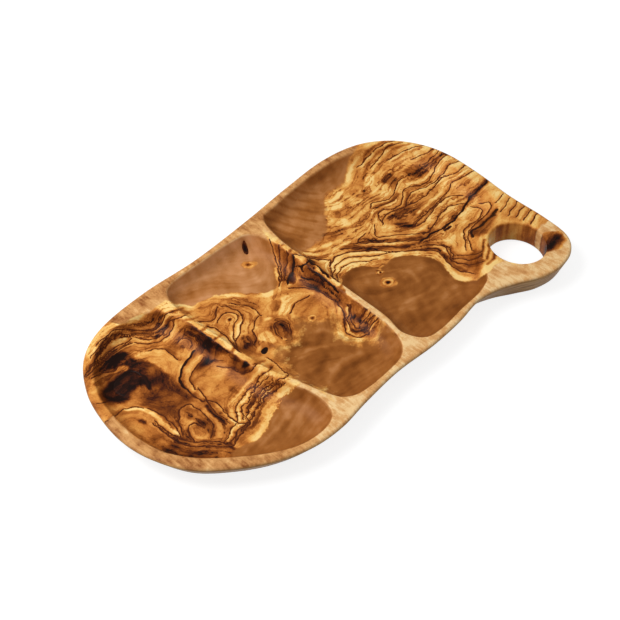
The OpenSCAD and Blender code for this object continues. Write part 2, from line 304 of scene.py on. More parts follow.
# broad soft-edged places: tone from 0 cream to 1 black, softness, outline
patches = [
    # left compartment, far half
    (0.05, 2, [(-92, 77), (-80, 77.5), (-70, 74.5), (-60, 69.5), (-60, 66.5), (-70, 68.5), (-80, 70.5),
               (-88, 72)]),
    # painted shade: darkens the left compartment's far wall, where it lies in shadow below the rim
    (0.62, 4, [(-98, 73), (-92, 70.5), (-80, 69.5), (-71, 69), (-70.5, 63), (-76, 60.5), (-85, 61.5),
               (-92, 65)]),
    (0.2, 2, [(-114, 66), (-107, 69), (-102, 66), (-105, 63)]),
    (0.9, 4, [(-133, 56.5), (-128, 57.5), (-122, 60), (-114, 58), (-110.5, 50), (-112, 43), (-118, 42),
              (-120, 48), (-128, 50)]),
    (0.12, 2, [(-148, 47), (-141, 52), (-140, 48), (-146, 43)]),
    (0.94, 4, [(-146, 38), (-140, 43), (-130, 43.5), (-118, 43), (-117, 30), (-122, 22), (-132, 26),
               (-140, 24), (-145, 30)]),
    (0.78, 4, [(-118, 42), (-107, 43), (-105.5, 30), (-106, 20), (-113, 18), (-119, 24)]),
    (0.52, 3, [(-134, 26), (-128, 29), (-122, 27), (-123, 21), (-128, 18.5), (-134, 20)]),
    (0.3, 2.5, [(-109, 49), (-100, 47), (-93, 39), (-92, 28), (-95, 20), (-104, 20), (-105, 34)]),
    (0.52, 3, [(-92, 41), (-82, 43), (-74, 41), (-75, 26), (-82, 23), (-92, 26)]),
    (0.28, 2, [(-91, 30), (-85, 32), (-81, 26), (-88, 23)]),
    (0.58, 3, [(-77, 36), (-70, 36), (-70, 8), (-78, 9)]),
    (0.72, 6, [(-75, 42), (-66, 46), (-62, 42), (-62, 2), (-70, 6), (-75, 24)]),
    (0.97, 4, [(-69, 30), (-64, 33), (-62.5, 26), (-62.5, 8), (-66, 7), (-69, 14)]),
    (0.84, 5, [(-90, 12), (-84, 14.5), (-78, 14), (-78, 9), (-86, 10)]),
    (0.74, 9, [(-132, 18), (-120, 18), (-107, 16), (-106, 2), (-108, -5), (-120, -4), (-131, -4)]),
    (0.4, 3, [(-100, 6), (-84, 8), (-78, 2), (-72, -5), (-70, -13), (-60, -14), (-58, -22), (-78, -23),
              (-98, -22), (-101, -8)]),
    (0.62, 2.5, [(-78, 8), (-65, 6), (-63, -8), (-66, -14), (-71, -13), (-73, -5)]),
    # left compartment, near half
    (0.68, 4, [(-146, -8), (-139, -14), (-131, -30), (-120, -46), (-118, -56), (-130, -62), (-150, -42),
               (-158, -20)]),
    (0.66, 3, [(-124, -8), (-118, -5), (-113, -8), (-112, -20), (-114, -28), (-119, -30), (-120, -20)]),
    (0.2, 2, [(-129, -27), (-126, -22), (-122, -23), (-120, -29), (-123, -34), (-128, -32)]),
    (0.52, 4, [(-141, -20), (-134, -24), (-122, -40), (-118, -50), (-124, -52), (-136, -36)]),
    # middle compartment, far half
    (0.24, 3, [(-59, 50), (-48, 49), (-38, 50), (-36, 44), (-46, 41), (-58, 43)]),
    (0.3, 3, [(-52, 32), (-44, 34), (-39, 30), (-40, 24), (-48, 23)]),
    (0.18, 3, [(-55, 14), (-44, 21), (-37, 19), (-40, 14), (-50, 11)]),
    (0.5, 3, [(-34, 16), (-24, 15), (-22, 4), (-30, 1), (-35, 8)]),
    (0.52, 3, [(-60, 9), (-48, 10), (-44, 4), (-48, -4), (-59, -4)]),
    (0.62, 4, [(2, 24), (14, 37), (28, 58), (28, 40), (20, 33), (8, 25)]),
    (0.6, 3, [(16, 33), (30, 38), (33, 26), (30, 18), (17, 19)]),
    (0.5, 3, [(3, 19), (10, 19), (17, 17), (17, 0), (13, 6), (8, 13)]),
    (0.64, 6, [(14, 18), (28, 18), (28, -20), (16, -20)]),
    (0.06, 2.5, [(-9, 16.5), (2, 14), (8, 8), (12, 2), (4, 6), (-6, 6), (-12, 2), (-19, 6), (-16, 11)]),
    (0.55, 1.5, [(-19, 16), (-13, 18), (-8, 15.5), (-10, 12), (-15, 9.5), (-19, 11)]),
    # middle compartment, near half
    (0.48, 3, [(-11, 1), (-2, 5), (6, 4), (14, -3), (14, -14), (4, -18), (-8, -14)]),
    (0.62, 1.5, [(-31.5, -9), (-30, -2), (-27, 2), (-22, 1.5), (-21, -4), (-24, -10), (-28.5, -14)]),
    (0.05, 1.5, [(-43.5, 2), (-35, 3), (-33.5, -4), (-37, -9), (-41, -6)]),
    (0.06, 1, [(-37.5, -35), (-36, -33.5), (-34.8, -36), (-35.2, -40), (-36.5, -41)]),
    (0.52, 3, [(5, -31), (14, -24), (27, -22), (27, -44), (12, -50), (4, -44)]),
    # right compartment
    (0.14, 2, [(31, 20), (38, 21), (42, 17), (34, 7), (31, 8)]),
    (0.52, 3, [(95, 14), (104, 18), (126, 14), (130, 6), (122, 1), (108, 0), (100, 6)]),
    (0.8, 3, [(101, 8), (105, 6), (110, -2), (107, -4), (102, 3)]),
    (0.74, 3, [(128, 46), (138, 46), (138, 38), (129, 37)]),
    (0.66, 4, [(147, 40), (158, 40), (160, 27), (150, 26)]),
    # painted highlight: a pale patch near the right end of the right compartment
    (0.28, 3, [(146, 50), (158, 50), (160, 42), (148, 41)]),
    (0.3, 3, [(110, -22), (148, -20), (153, -26), (146, -31), (130, -30), (118, -40), (108, -28)]),
    (0.74, 4, [(129, -40), (133, -36), (147, -37), (158, -35.5), (157, -38), (146, -41), (134, -44)]),
    (0.56, 5, [(100.5, -46), (104, -43), (116, -49), (120, -54), (112, -61), (102, -62)]),
    (0.62, 7, [(148, -80), (156, -74), (166, -74), (172, -80), (170, -88), (162, -90), (152, -87)]),
    (0.86, 4, [(150, -80), (158, -79), (168, -80), (170, -85), (163, -87), (153, -86)]),
    # painted shade: darkens the right wall of the hole, where it lies in shadow
    (0.62, 2, [(146, -45), (155, -49), (161, -56), (164, -66), (161, -76), (155, -82), (148, -86),
               (150, -66)]),
    (0.86, 4, [(157, -11), (166, -10), (181, -9), (181, -12), (168, -14), (157, -15.5)]),
]
# soft marks on the plain zones: change of shade, half width, paths
sapMarks = [
    (-0.16, 3, [[(30, -16), (36, -6), (46, -3.5), (56, -8)], [(84, -24), (91, -36), (89, -50)], [(40, -22),
                (46, -28), (52, -36)]]),
    (0.14, 1.6, [[(66, -22), (72, -30), (70, -40)], [(72, -30), (80, -34)], [(50, -48), (64, -52),
                 (82, -52)], [(46, -60), (64, -64), (84, -62)]]),
    # partly painted shade: the first path darkens the middle compartment's far right corner, where the wall
    # lies in shade; the rest are darker marks in the sapwood
    (-0.22, 4, [[(26, 76), (25, 62), (14, 46), (2, 33), (-8, 34)], [(-58, 68), (-44, 60), (-32, 56),
                (-22, 46)]]),
    (0.12, 2, [[(-48, 74), (-30, 68), (-14, 60), (-8, 50)], [(-30, 80), (-10, 76), (6, 74)]]),
    (-0.18, 1.1, [[(36, 76), (40, 60), (48, 44)], [(42, 80), (47, 63), (56, 46)], [(50, 82), (55, 66),
                  (64, 50)], [(58, 84), (63, 70), (72, 56)],
                  [(67, 86), (71, 74), (79, 62)], [(76, 87), (79, 77), (86, 68)]]),
    (-0.2, 5, [[(33, 80), (34, 60), (38, 44)], [(90, 84), (104, 78), (118, 80)]]),
    # partly painted shade: the third path darkens the middle compartment's near right corner, where the wall
    # lies in shade; the others are darker marks in the sapwood
    (-0.2, 2.2, [[(-40, -24), (-28, -22), (-20, -30), (-10, -26)], [(-46, -44), (-34, -46), (-24, -42)],
                 [(8, -60), (16, -58), (24, -62)], [(-36, -60), (-20, -58), (-4, -62)]]),
    (0.2, 1.8, [[(-36, -30), (-26, -30), (-18, -36)], [(-30, -52), (-16, -52), (-6, -56)], [(-12, -22),
                (-6, -28), (-8, -36)]]),
    (0.16, 2, [[(-104, -62), (-88, -60), (-70, -54)], [(-84, -66), (-66, -62), (-54, -56)]]),
    (-0.16, 2, [[(-112, -60), (-96, -64), (-80, -62)], [(-70, -50), (-60, -52), (-54, -50)]]),
]
# where rings stand close together: strength, middle, half length, half width
ringZones = [(1.0, (105, 20), 85, 62), (0.95, (-100, 62), 56, 24), (0.8, (-78, -36), 46, 20),
             (0.7, (-30, 25), 40, 38),
             (0.7, (15, -30), 22, 30), (0.8, (-128, -30), 26, 30), (0.9, (-72, 22), 16, 32),
             (0.7, (20, 10), 14, 34)]
jagged = ((-78, -40), 40, 20)  # oval where the lines run in small teeth: middle, half length, half width
# knots in sapwood that keep a ring of light heartwood: middle, half length, half width, angle, ring
eyeRings = [((58, -16.3), 2, 1.8, 0, 1.2), ((54.7, -26.5), 4, 3.2, -25, 1.6),
            ((0.8, 54.4), 4.6, 3, -40, 0.4)]
# round spots: tone, middle, half length, half width, angle
spots = [
    (0.08, (86, 50), 5, 3.5, 20), (0.08, (99, 44), 5, 3, -10), (0.08, (122, 51), 7, 3.5, 25),
    (0.1, (76, 36), 5, 3.5, 0),
    (0.1, (94, 57), 8, 1.6, 8), (0.55, (105.5, 51), 4.5, 3, 0), (0.7, (111, 47), 2, 1.5, 0),
    (0.12, (121, 33), 6, 3, -15),
    (0.6, (68, 46), 4, 3, 30), (0.55, (60, 30), 4, 2.5, 0), (0.15, (52, 28), 5, 2, -10),
    (0.5, (80, 44), 3, 2, 40),
    (0.75, (120.5, 5), 5, 2.5, 0), (0.2, (122, 4), 2, 1, 0), (0.6, (-85.5, -18), 1.8, 4, 0),
    (1.0, (-63, -8.5), 3.5, 1.8, 0),
    (0.97, (14.5, -31), 2, 1.4, 20), (0.97, (15, -35.5), 2, 1.4, 20), (0.8, (-14.7, -31.6), 1.3, 1.3, 0),
    (0.85, (-143, 5), 1.6, 3, 0), (0.9, (-139, -42), 0.9, 0.7, 0), (0.9, (-132, -52), 1, 0.8, 0),
    (0.1, (-14, 8), 4, 2, 20), (0.08, (-26, 9), 2.5, 1.2, -30), (0.75, (-30, 12), 2.5, 1.2, 30),
    (0.7, (-53, 2), 3, 2, 0),
    (0.8, (-51, 7), 1, 1, 0), (0.15, (-49.5, -5), 3, 1.2, 20), (0.9, (114, -12), 1, 0.8, 0),
    (0.4, (64, 16), 8, 3, -40),
]
# brush strokes with soft sides: tone, half width, paths
bands = [
    (0.06, 2.6, [[(-127, 70), (-120, 75.5), (-110, 78), (-101, 79.5), (-96, 78)]]),
    (0.62, 1.6, [[(-137, 61), (-125, 66.5), (-115, 70.5), (-107, 73), (-102, 71)], [(-96, 66), (-91, 59),
                 (-84, 53), (-76, 53), (-71, 56)]]),
    (0.4, 2.2, [[(-140, 49), (-132, 50), (-126, 48.5), (-121, 46)]]),
    (0.2, 1.3, [[(-80, 19), (-90, 17), (-97, 13), (-102, 8), (-104, 0)], [(-88, 44), (-82, 43.5),
                (-74, 46)]]),
    (0.1, 1.5, [[(-143, 20), (-138, 15.5), (-135, 9.5), (-134, 2.5), (-135, -4.5), (-135, -20)],
                [(-104, -38), (-100, -31), (-94, -25.5), (-87, -24), (-80, -22), (-68, -20),
                 (-60, -18.5)]]),
    (0.14, 1.2, [[(-100, -38), (-95, -32.5), (-91, -29.5), (-84, -29), (-78, -26.3), (-61, -24)],
                 [(-116, -45), (-108, -41), (-101, -42), (-94, -38.5), (-88, -34), (-80, -31),
                  (-70, -29.5), (-56, -29.5)]]),
    (0.36, 2.2, [[(-112, -8), (-109, -16), (-111, -26), (-112, -32), (-117, -38)]]),
    (0.88, 1.3, [[(-106.5, -15), (-108, -24), (-108, -34)]]),
    (0.6, 1.6, [[(-108, -44), (-97, -47), (-88, -42.5), (-76, -38.5), (-60, -35.5)], [(-92, -37),
                (-82, -32.3), (-72, -30), (-60, -28)]]),
    # crests of the dividers
    (0.1, 2.2, [[(-63, 62), (-62, 50), (-61.4, 30), (-61, 10), (-60, -6), (-58, -20)], [(30.8, 58),
                (30.2, 36), (29.8, 28)],
                [(29.4, 16), (28.9, -4)], [(28.4, -14), (28, -30), (27, -46)]]),
    (0.62, 0.9, [[(-66, 60), (-59, 57)], [(-66, 48), (-58, 44)], [(-64, 33), (-58, 33)], [(-64, 21.5),
                 (-58, 21)], [(-63.5, 6), (-57.5, 6.5)],
                 [(-60, -12), (-55, -15)], [(28, 50), (34, 51)], [(28, 42), (34, 43)], [(26, -5),
                  (31.5, -6)], [(26, -12), (31, -12)],
                 [(26, -27), (31, -24)], [(26, -31), (31, -28)], [(26, -35), (31, -32)], [(26, -39),
                  (31, -36)], [(25, -43), (30, -40)]]),
    (0.12, 1.6, [[(14.5, -18), (6.5, -26), (-0.5, -32.5), (-3, -37.5), (-2, -43), (2, -48), (8, -54),
                 (11, -54.8), (18, -51), (25, -46)]]),
    (0.12, 0.9, [[(18, -22), (8, -31.5), (3, -37), (3, -42), (7, -46.5)], [(16, -38), (26, -34)],
                 [(15, -42.5), (26, -38)], [(13, -46.5), (25, -41.5)]]),
    # flow of the right compartment
    (0.12, 1.4, [[(34, 34), (40, 28), (46, 24.5), (54, 23)], [(35, 8.5), (42, 12.2), (49, 13), (56, 10.5),
                 (65, 3), (74, -5), (82, -14)],
                 [(34, 2), (40, 6.5), (47, 8), (54, 5.5), (62, -2), (70, -8)], [(46, 19.5), (56, 20.5),
                  (66, 20), (78, 19.5)]]),
    (0.14, 1.6, [[(86, 61), (98.5, 61.8), (106.5, 60.8), (112, 63.5), (121, 69), (131, 73), (142, 75.5),
                 (150.5, 75.5), (158, 73)]]),
    (0.14, 1.2, [[(98, 27), (106, 28.5), (112, 24.5), (118, 22.5), (124, 24), (130, 28), (136, 31)],
                 [(142, 27), (150, 17.5), (160, 19), (170, 23), (181, 23)], [(150, 8), (160, 9.5),
                  (170, 7), (182, 7)],
                 [(118, -15.5), (128, -14.5), (138, -13), (146, -14)], [(100, -8), (108, -9), (118, -9),
                  (128, -6.5), (140, -5), (150, -6.5)]]),
    (0.3, 1.5, [[(58, 14), (68, 6), (78, -4), (88, -13), (97, -20)], [(72, 13), (80, 4), (90, -4.5),
                (99, -11.5)]]),
    (0.66, 1.2, [[(62, 12), (72, 2.5), (82, -6), (91, -14)], [(76, 10), (86, 0), (96, -8.5), (104, -15)],
                 [(98, -24), (103, -31), (101, -39), (99, -47), (99, -58)],
                 [(104, 14.5), (114, 12.5), (121, 10.5)], [(108, 21), (117, 16), (124, 17.5), (134, 23.5),
                  (142, 21), (152, 18)],
                 [(103, 29), (111, 27), (118, 25), (126, 27)], [(162, 31), (172, 30.5), (182, 31)],
                  [(160, 39), (170, 37), (181, 41)]]),
    (0.12, 1.1, [[(162, -41), (170, -39), (177, -36.5)], [(163, -46.5), (170, -45), (177, -43)],
                 [(164, -52), (170, -50.5), (177, -49)],
                 [(165, -58), (171, -56), (177, -54.5)], [(165, -64), (171, -62), (177, -60.5)],
                 [(116, -59), (123, -55), (131, -49)], [(118, -62), (124, -58.5), (128, -55)],
                  [(108, -65.5), (123, -66)]]),
    (0.66, 0.8, [[(117, -60.5), (123.5, -56.7), (130, -52)], [(116, -57), (122, -53), (130, -47)],
                 [(113, -64), (122, -63), (126, -60)]]),
    (0.66, 1.0, [[(140, 72), (150, 73), (160, 71)], [(130, 63), (140, 65), (150, 66.5), (162, 65)],
                 [(140, 58), (150, 59.5), (160, 60), (170, 56)],
                 [(125, 59), (134, 62.5)], [(150, 52.5), (162, 51), (174, 47)]]),
    (0.14, 1.0, [[(130, 67), (140, 69), (150, 70.5), (160, 68)], [(136, 61.5), (146, 63), (156, 63)],
                 [(150, 55), (162, 53.5), (172, 50)], [(172, 45), (180, 43)]]),
]

darkLines = {
    "half": 0.42, "tone": 0.86, "halo": 0.34, "paths": [
        # left compartment, near half
        [(-103, -40), (-99, -35), (-93.5, -28.5), (-86, -27), (-79, -24.5), (-74, -26), (-68, -23),
         (-61, -22), (-55, -23)],
        [(-98, -39.5), (-94, -34), (-90, -31.5), (-84, -31), (-78, -28), (-70, -27), (-61, -26)],
        [(-119, -43.5), (-114, -43), (-109, -39.5), (-104, -39), (-98, -43), (-93.5, -38), (-88, -36.5),
         (-82, -34),
         (-74, -31.5), (-66, -31.5), (-58, -32.5), (-53, -35)],
        [(-118, -47), (-112.5, -46), (-106, -43), (-97, -44.5), (-91, -40.5), (-85.5, -39), (-79, -35.5),
         (-71, -34), (-61, -34.5)],
        [(-116.5, -50), (-109.5, -47.5), (-102, -46), (-94, -43.5), (-88, -40.5), (-82, -39), (-74, -37),
         (-66, -38), (-58, -37)],
        [(-140, -21), (-136, -31), (-128.5, -38), (-121.5, -46), (-119, -52)],
        [(-136.5, -20), (-133, -29), (-126, -36), (-120, -43), (-117, -50)],
        [(-139.5, -1), (-139.5, -11), (-139, -20)],
        [(-137, 0), (-137.5, -10), (-136.5, -20)],
        [(-133.3, 10.5), (-131.7, 3), (-131, -5), (-132, -14), (-135, -21)],
        [(-132.5, -21), (-128.5, -14), (-124, -8), (-119, -4.5), (-114, -5.5), (-112, -11), (-112.5, -21),
         (-114, -29), (-119, -33), (-122, -35)],
        [(-131, -30), (-129.5, -24), (-125.5, -18.5), (-121, -20), (-119.5, -26)],
        [(-106, 5), (-106, -9), (-104, -11.7), (-100, -18), (-102, -27), (-102.5, -39.5)],
        [(-99.5, 0), (-103, -11), (-106, -20.5), (-106, -35)],
        [(-79, 3.5), (-73, -4.5), (-73, -8.5), (-71, -13), (-65.5, -14.5), (-59, -13.5)],
        # left compartment, far half
        [(-119, 73.5), (-112.5, 74.5), (-106, 75), (-101.5, 74.5), (-98, 72), (-95, 68), (-91, 62),
         (-87, 57.5), (-83, 56),
         (-78, 57), (-73.5, 59), (-70, 61), (-64, 59)],
        [(-128.5, 68), (-119, 71), (-109.5, 73), (-104.5, 72), (-100.5, 67), (-98, 63)],
        [(-135, 62), (-125.5, 65.5), (-116, 68.5), (-108.5, 70), (-104, 67), (-100, 63.5)],
        [(-137, 60.5), (-128.5, 62), (-120.5, 63), (-112.5, 64), (-107, 62), (-100.5, 61.5)],
        [(-140, 58), (-128, 59.5), (-120, 60.5), (-110, 60), (-104, 59)],
        [(-102, 57.5), (-98, 52.5), (-93.5, 49), (-88.5, 46.5), (-82, 46.5), (-75, 49), (-70.5, 52)],
        [(-71, 54.5), (-66.5, 52.5), (-61.5, 51)],
        [(-100, 46), (-93.5, 41.5), (-92, 37.5), (-92.3, 27)],
        [(-98, 60), (-94, 53), (-88, 50), (-80, 51), (-72, 55)],
        [(-140, 54), (-133, 53), (-128, 49.5), (-121, 50.5)],
        [(-82, 37), (-78, 38), (-75.5, 35), (-76, 30), (-80, 28)],
        [(-80, 15), (-90, 13), (-96, 10.5), (-100.5, 5.5), (-102, 0)],
        [(-157, 21.5), (-150, 20.5), (-144, 21), (-139, 18), (-135.5, 13)],
        [(-152, 38), (-147, 33), (-143, 27)],
        # middle compartment, far half
        [(-59.5, 40), (-55.5, 36), (-51.5, 35), (-48.5, 36), (-44.5, 40), (-42, 41)],
        [(-39, 40), (-37.5, 37), (-35.5, 31), (-35.5, 25.5), (-38, 21), (-43, 18), (-50, 12.5),
         (-55.5, 10.5)],
        [(-41, 33.5), (-38, 29), (-38.5, 25), (-43.5, 23), (-49, 19), (-55, 12), (-58, 5.5), (-59, 1)],
        [(-51, 31), (-48.5, 33), (-43.5, 34), (-41, 33)],
        [(-58.5, 33), (-57, 27), (-56.5, 20), (-58, 12), (-59, 3)],
        [(-46, 1), (-43, 4), (-41.5, 9), (-38, 10.5), (-35.5, 13), (-31.5, 15), (-27, 14.5)],
        [(-34, 38), (-29, 30), (-26, 22), (-28, 15)],
        [(1, 25), (5.5, 29.5), (13.5, 39), (21.5, 50.5), (28, 60.5)],
        [(5, 27), (11.5, 33.5), (17.5, 40), (24, 47), (28.5, 52)],
        [(7, 26), (14.5, 32), (20, 36), (25.5, 41), (28.5, 44)],
        [(3.5, 19), (8, 14.5), (13, 8), (15.5, 1), (16, -10)],
        [(-12.5, 1.5), (-8, 4), (-2, 5.5), (3.5, 5), (8, 3.5)],
        # middle compartment, near half
        [(-32.5, -9.5), (-31, -2), (-27, 2.5), (-22, 2), (-20, -4), (-24, -10), (-28.5, -15),
         (-31.5, -12.5)],
        [(16, -15), (13, -23), (6.5, -30), (1, -36.5), (1, -40.5), (3.5, -46), (9, -48.5)],
        [(20, -19), (17, -24.5), (9.5, -30), (5, -36.5), (5, -41), (8, -44.5)],
        [(21.5, -21.5), (14.5, -28.5), (9, -35), (9, -41), (13, -43)],
        [(14.5, -35.5), (20, -34), (25.5, -32.5)],
        [(13, -39), (21.5, -37), (26.5, -35.5)],
        [(11.5, -44.5), (17.5, -41), (25.5, -39.5)],
        [(9.5, -49), (16, -44.5), (25, -43)],
        [(-51.5, -15), (-50.5, -20.5), (-52, -28.5), (-51.5, -35), (-48.5, -39.5)],
        # right compartment
        [(28, 39), (31, 36), (34.5, 27), (38.5, 21.5), (43, 17), (41, 15), (32, 5), (31, -2)],
        [(33, 6.5), (37, 11), (43, 14.5), (49.5, 15.5), (56.5, 13), (66, 5), (74, -3), (82, -12)],
        [(32, 3.5), (39, 9), (47.5, 10.5), (55.5, 8), (66, -2), (74, -7), (82, -12.5), (90, -19.5),
         (96.5, -26.5),
         (100.5, -32.5), (98.5, -40), (96.5, -48), (96.5, -56), (100.5, -63)],
        [(32, 0.5), (38.5, 4.5), (46.5, 5.5), (54.5, 2), (60, -3), (66, -6)],
        [(55.5, 18.5), (66, 10.5), (78, -1), (86, -10), (94.5, -16)],
        [(79, 17), (69, 14.5), (74, 8.5), (82, 1), (90, -6), (100.5, -15)],
        [(90.5, 17.5), (82, 9), (88.5, 3), (96.5, -3.5), (106.5, -12), (111, -14.5), (120, -12.5),
         (129, -9.5), (139, -8.5),
         (145.5, -10.5), (151.5, -14.5)],
        [(100.5, 3), (108.5, -4), (117, -5.5), (127, -3.5), (140, -1), (149.5, -2), (156.5, -8.5)],
        [(109.5, -3), (122, -1.5), (135, 0), (147.5, 1.5), (155.5, 3), (161.5, 6), (172, 4), (182, 2.5)],
        [(101.5, 31.5), (106.5, 34), (111.5, 30.5), (117, 28.5), (123, 28.5), (128, 31.5), (132, 34),
         (140, 36)],
        [(95.5, 15.5), (100.5, 23.5), (106.5, 23.5), (111.5, 19.5), (118, 18), (123, 20), (128, 24),
         (135, 27), (140.5, 23.5),
         (145.5, 20.5), (152.5, 20), (159.5, 22.5), (168, 26.5), (174, 28), (182, 28)],
        [(94.5, 13.5), (99.5, 17.5), (106.5, 18.5), (113, 16.5), (119, 14.5), (125, 17.5), (132, 20.5),
         (139.5, 19.5),
         (147.5, 16.5), (156.5, 16), (166, 17.5), (173, 19.5), (182, 17)],
        [(123, 13.5), (130, 11.5), (140.5, 11.5), (150.5, 13), (160.5, 14.5), (166, 12.5), (172, 10.5),
         (182, 11.5)],
        [(151.5, -20.5), (154.5, -25.5), (152.5, -29.5), (145.5, -32), (132, -31), (126, -34.5),
         (122, -39), (115, -45)],
        [(158, -22.5), (163.5, -26.5), (158, -31.5), (152.5, -33), (142.5, -34), (133, -34.5), (125, -39),
         (121, -44), (117, -49)],
        [(100.5, -46), (102.5, -52), (106.5, -57), (113, -60)],
        [(102.5, -44), (106.5, -49), (109.5, -54), (117, -56)],
        [(106.5, -44), (110.5, -48), (115, -52), (120, -53)],
        [(106.5, -28.5), (109.5, -34), (106.5, -40), (102.5, -45)],
        [(101, -22), (105, -27), (107.5, -33), (104, -39), (100, -45)],
        [(165, -29.5), (171, -29), (176.5, -27.5)],
        [(160, -38), (169, -36), (177.5, -33)],
        [(161, -44), (169, -42), (177.5, -40)],
        [(163, -49), (170, -47.5), (177, -46)],
        [(165, -55), (171, -53.5), (177, -52)],
        [(165, -61), (171, -59), (177, -57.5)],
        [(127, 66.5), (137, 68.5), (147.5, 70), (157.5, 69.5), (166, 66)],
        [(133, 59.5), (142.5, 61.5), (150, 63.5), (157.5, 65.5), (168, 61)],
        [(147.5, 56), (157.5, 55), (168, 52), (177, 47)],
        [(160, 44), (170, 41), (180, 39)],
        [(162, 34), (172, 34), (182, 36)],
    ]}
blackLines = {
    "half": 0.8, "tone": 0.98, "halo": 0.6, "paths": [
        [(-139, 34), (-127, 34.5), (-119, 32)],
        [(-119, 40), (-117.5, 31), (-122, 22)],
        [(-80, 24), (-86, 22.5), (-93.5, 20), (-100, 16), (-104, 12), (-105.5, 7), (-106, 0)],
        [(6.5, 22), (10.5, 25.5), (16, 27), (21, 31), (27.5, 36), (28, 39)],
        [(24, 26.5), (29, 26), (33, 26.5), (31, 23), (32, 18.5), (29.5, 6.5)],
        [(21, 31), (24, 26.5), (21.5, 22.5)],
        [(17, 19), (18.5, 15.5), (21.5, 10.5), (21.5, 0), (20.5, -10)],
        [(26.5, 17), (27, 12), (25.5, 0), (24, -8)],
        [(100.5, -17), (111.5, -17.5), (120, -19.5), (131, -20), (141.5, -18.5), (151.5, -16),
         (158.5, -13.5), (168, -12.5), (180, -11)],
        [(128, -40), (133, -36.5), (140, -37.5), (147.5, -37), (157.5, -36), (161, -34.5)],
        [(120, -22), (126, -22.4)],
        [(-34, -62), (-30, -62.3)],
        [(-13, -62.6), (-1, -64.6)],
    ]}


def wobble(u, v, size, seed, waves=9):
    # sum of plane waves in random directions, wavelength about size
    draw = np.random.default_rng(seed)
    angles = draw.uniform(0, np.pi, waves)
    phases = draw.uniform(0, 2 * np.pi, waves)
    ratios = draw.uniform(0.7, 1.5, waves)
    total = np.zeros(len(u))
    for angle, phase, ratio in zip(angles, phases, ratios):
        total += np.sin(2 * np.pi * ratio * (u * np.cos(angle) + v * np.sin(angle)) / size + phase)
    return total / np.sqrt(waves)


# Grain: streaks that follow the drawn lines, and these guides where there are none
guides = [
    [(38, 84), (42, 62), (50, 40)], [(52, 86), (56, 64), (64, 46)], [(72, 86), (76, 68), (86, 58)],
    [(-54, 70), (-30, 62), (-10, 44), (4, 42), (16, 60)], [(-50, 82), (-22, 74), (0, 60)],
    [(34, -14), (52, -30), (84, -34)], [(32, -40), (56, -52), (84, -58)], [(40, -70), (70, -70)],
    [(-46, -30), (-26, -36), (-8, -48)], [(-40, -56), (-14, -60), (12, -62)],
    [(-110, -66), (-84, -62), (-58, -56)], [(-100, 8), (-84, -4), (-64, -16)],
    [(-104, -8), (-88, -14), (-66, -18)], [(-128, 10), (-114, 2), (-108, -12)],
]
# map of 1 mm cells: its corner and count, narrow and wide blur, share of the wide one, steps along the grain
# each way, width of a fibre, gain, seed and cells of the random fibres
grainMap = {
    "low": np.array((-180, -120)), "cells": (380, 240), "blur": (3.5, 11), "wideShare": 0.4, "reach": 15,
    "fibre": 1.25, "gain": 4.2, "seed": 11, "seedCells": (420, 300),
}


def blurMap(field, size):
    # Gaussian blur of a map of 1 mm cells, by way of its spectrum
    across, along = (np.fft.fftfreq(n) for n in field.shape)
    fall = np.exp(-2 * (np.pi * size)**2 * (across[:, None]**2 + along[None, :]**2))
    return np.real(np.fft.ifft2(np.fft.fft2(field) * fall))


def readMap(field, p):
    # straight blend of the four cells round each point
    p = np.clip(p, 0, np.array(field.shape) - 1.01)
    i, j = np.floor(p).astype(int).T
    a, b = (p - np.floor(p)).T
    return (field[i, j] * (1 - a) * (1 - b) + field[i + 1, j] * a * (1 - b)
            + field[i, j + 1] * (1 - a) * b + field[i + 1, j + 1] * a * b)


def grainField():
    # double-angle map of the direction in which the lines run, blurred narrow and wide
    turn = np.zeros((2, *grainMap["cells"]))
    strokes = [path for _, _, paths in bands for path in paths]
    for points in darkLines["paths"] + blackLines["paths"] + guides + strokes:
        path = openCurve(points, 12)
        step = np.diff(path, axis=0)
        cell = np.floor(path[:-1] - grainMap["low"]).astype(int)
        length = np.linalg.norm(step, axis=1)
        angle = 2 * np.arctan2(step[:, 1], step[:, 0])
        for k, part in enumerate((np.cos(angle), np.sin(angle))):
            np.add.at(turn[k], (cell[:, 0], cell[:, 1]), length * part)
    narrow, wide = grainMap["blur"]
    return [blurMap(part, narrow) + grainMap["wideShare"] * blurMap(part, wide) for part in turn]


grainTurn = grainField()
grainSeed = np.random.default_rng(grainMap["seed"]).uniform(-1, 1, grainMap["seedCells"])


def grainStreaks(plan):
    # mean of a random fibre pattern along the grain, both ways from each point; about 1 wide
    total = np.zeros(len(plan))
    for sense in (1, -1):
        p = plan.copy()
        before = None
        for _ in range(grainMap["reach"]):
            c, d = (readMap(part, p - grainMap["low"]) for part in grainTurn)
            angle = np.arctan2(d, c + 1e-4) / 2
            way = np.stack([np.cos(angle), np.sin(angle)], 1)
            flip = np.sign((way * before).sum(1)) if before is not None else np.full(len(p), sense)
            before = way * np.where(flip == 0, 1, flip)[:, None]
            p = p + before
            total += readMap(grainSeed, (p - grainMap["low"]) / grainMap["fibre"])
    return total * grainMap["gain"] / grainMap["reach"]


def ovalDepth(p, middle, half, halfWide, angle):
    # signed distance to an oval, near enough for a soft edge, positive inside
    turn = np.radians(angle)
    x, y = (p - middle).T
    u = (x * np.cos(turn) + y * np.sin(turn)) / half
    v = (y * np.cos(turn) - x * np.sin(turn)) / halfWide
    return (1 - np.hypot(u, v)) * min(half, halfWide)


def paintTone(tone, near, value, mask):
    tone[near] += (value - tone[near]) * mask


# how the figure lies: shift on the drawn plan for each millimetre below the rim, wavelength and reach of the
# lines' wander, the same for their teeth with what the jagged oval adds, how far a line is felt, how soon brown
# fades on its dark side and cream on its pale side, and how pale that is
lay = {"shift": (0.674, 0.64), "wander": (9, 0.35), "teeth": (3.6, 0.16, 0.3), "feltTo": 14,
       "darkFade": 1.8, "paleFade": 1.3, "pale": 0.12}


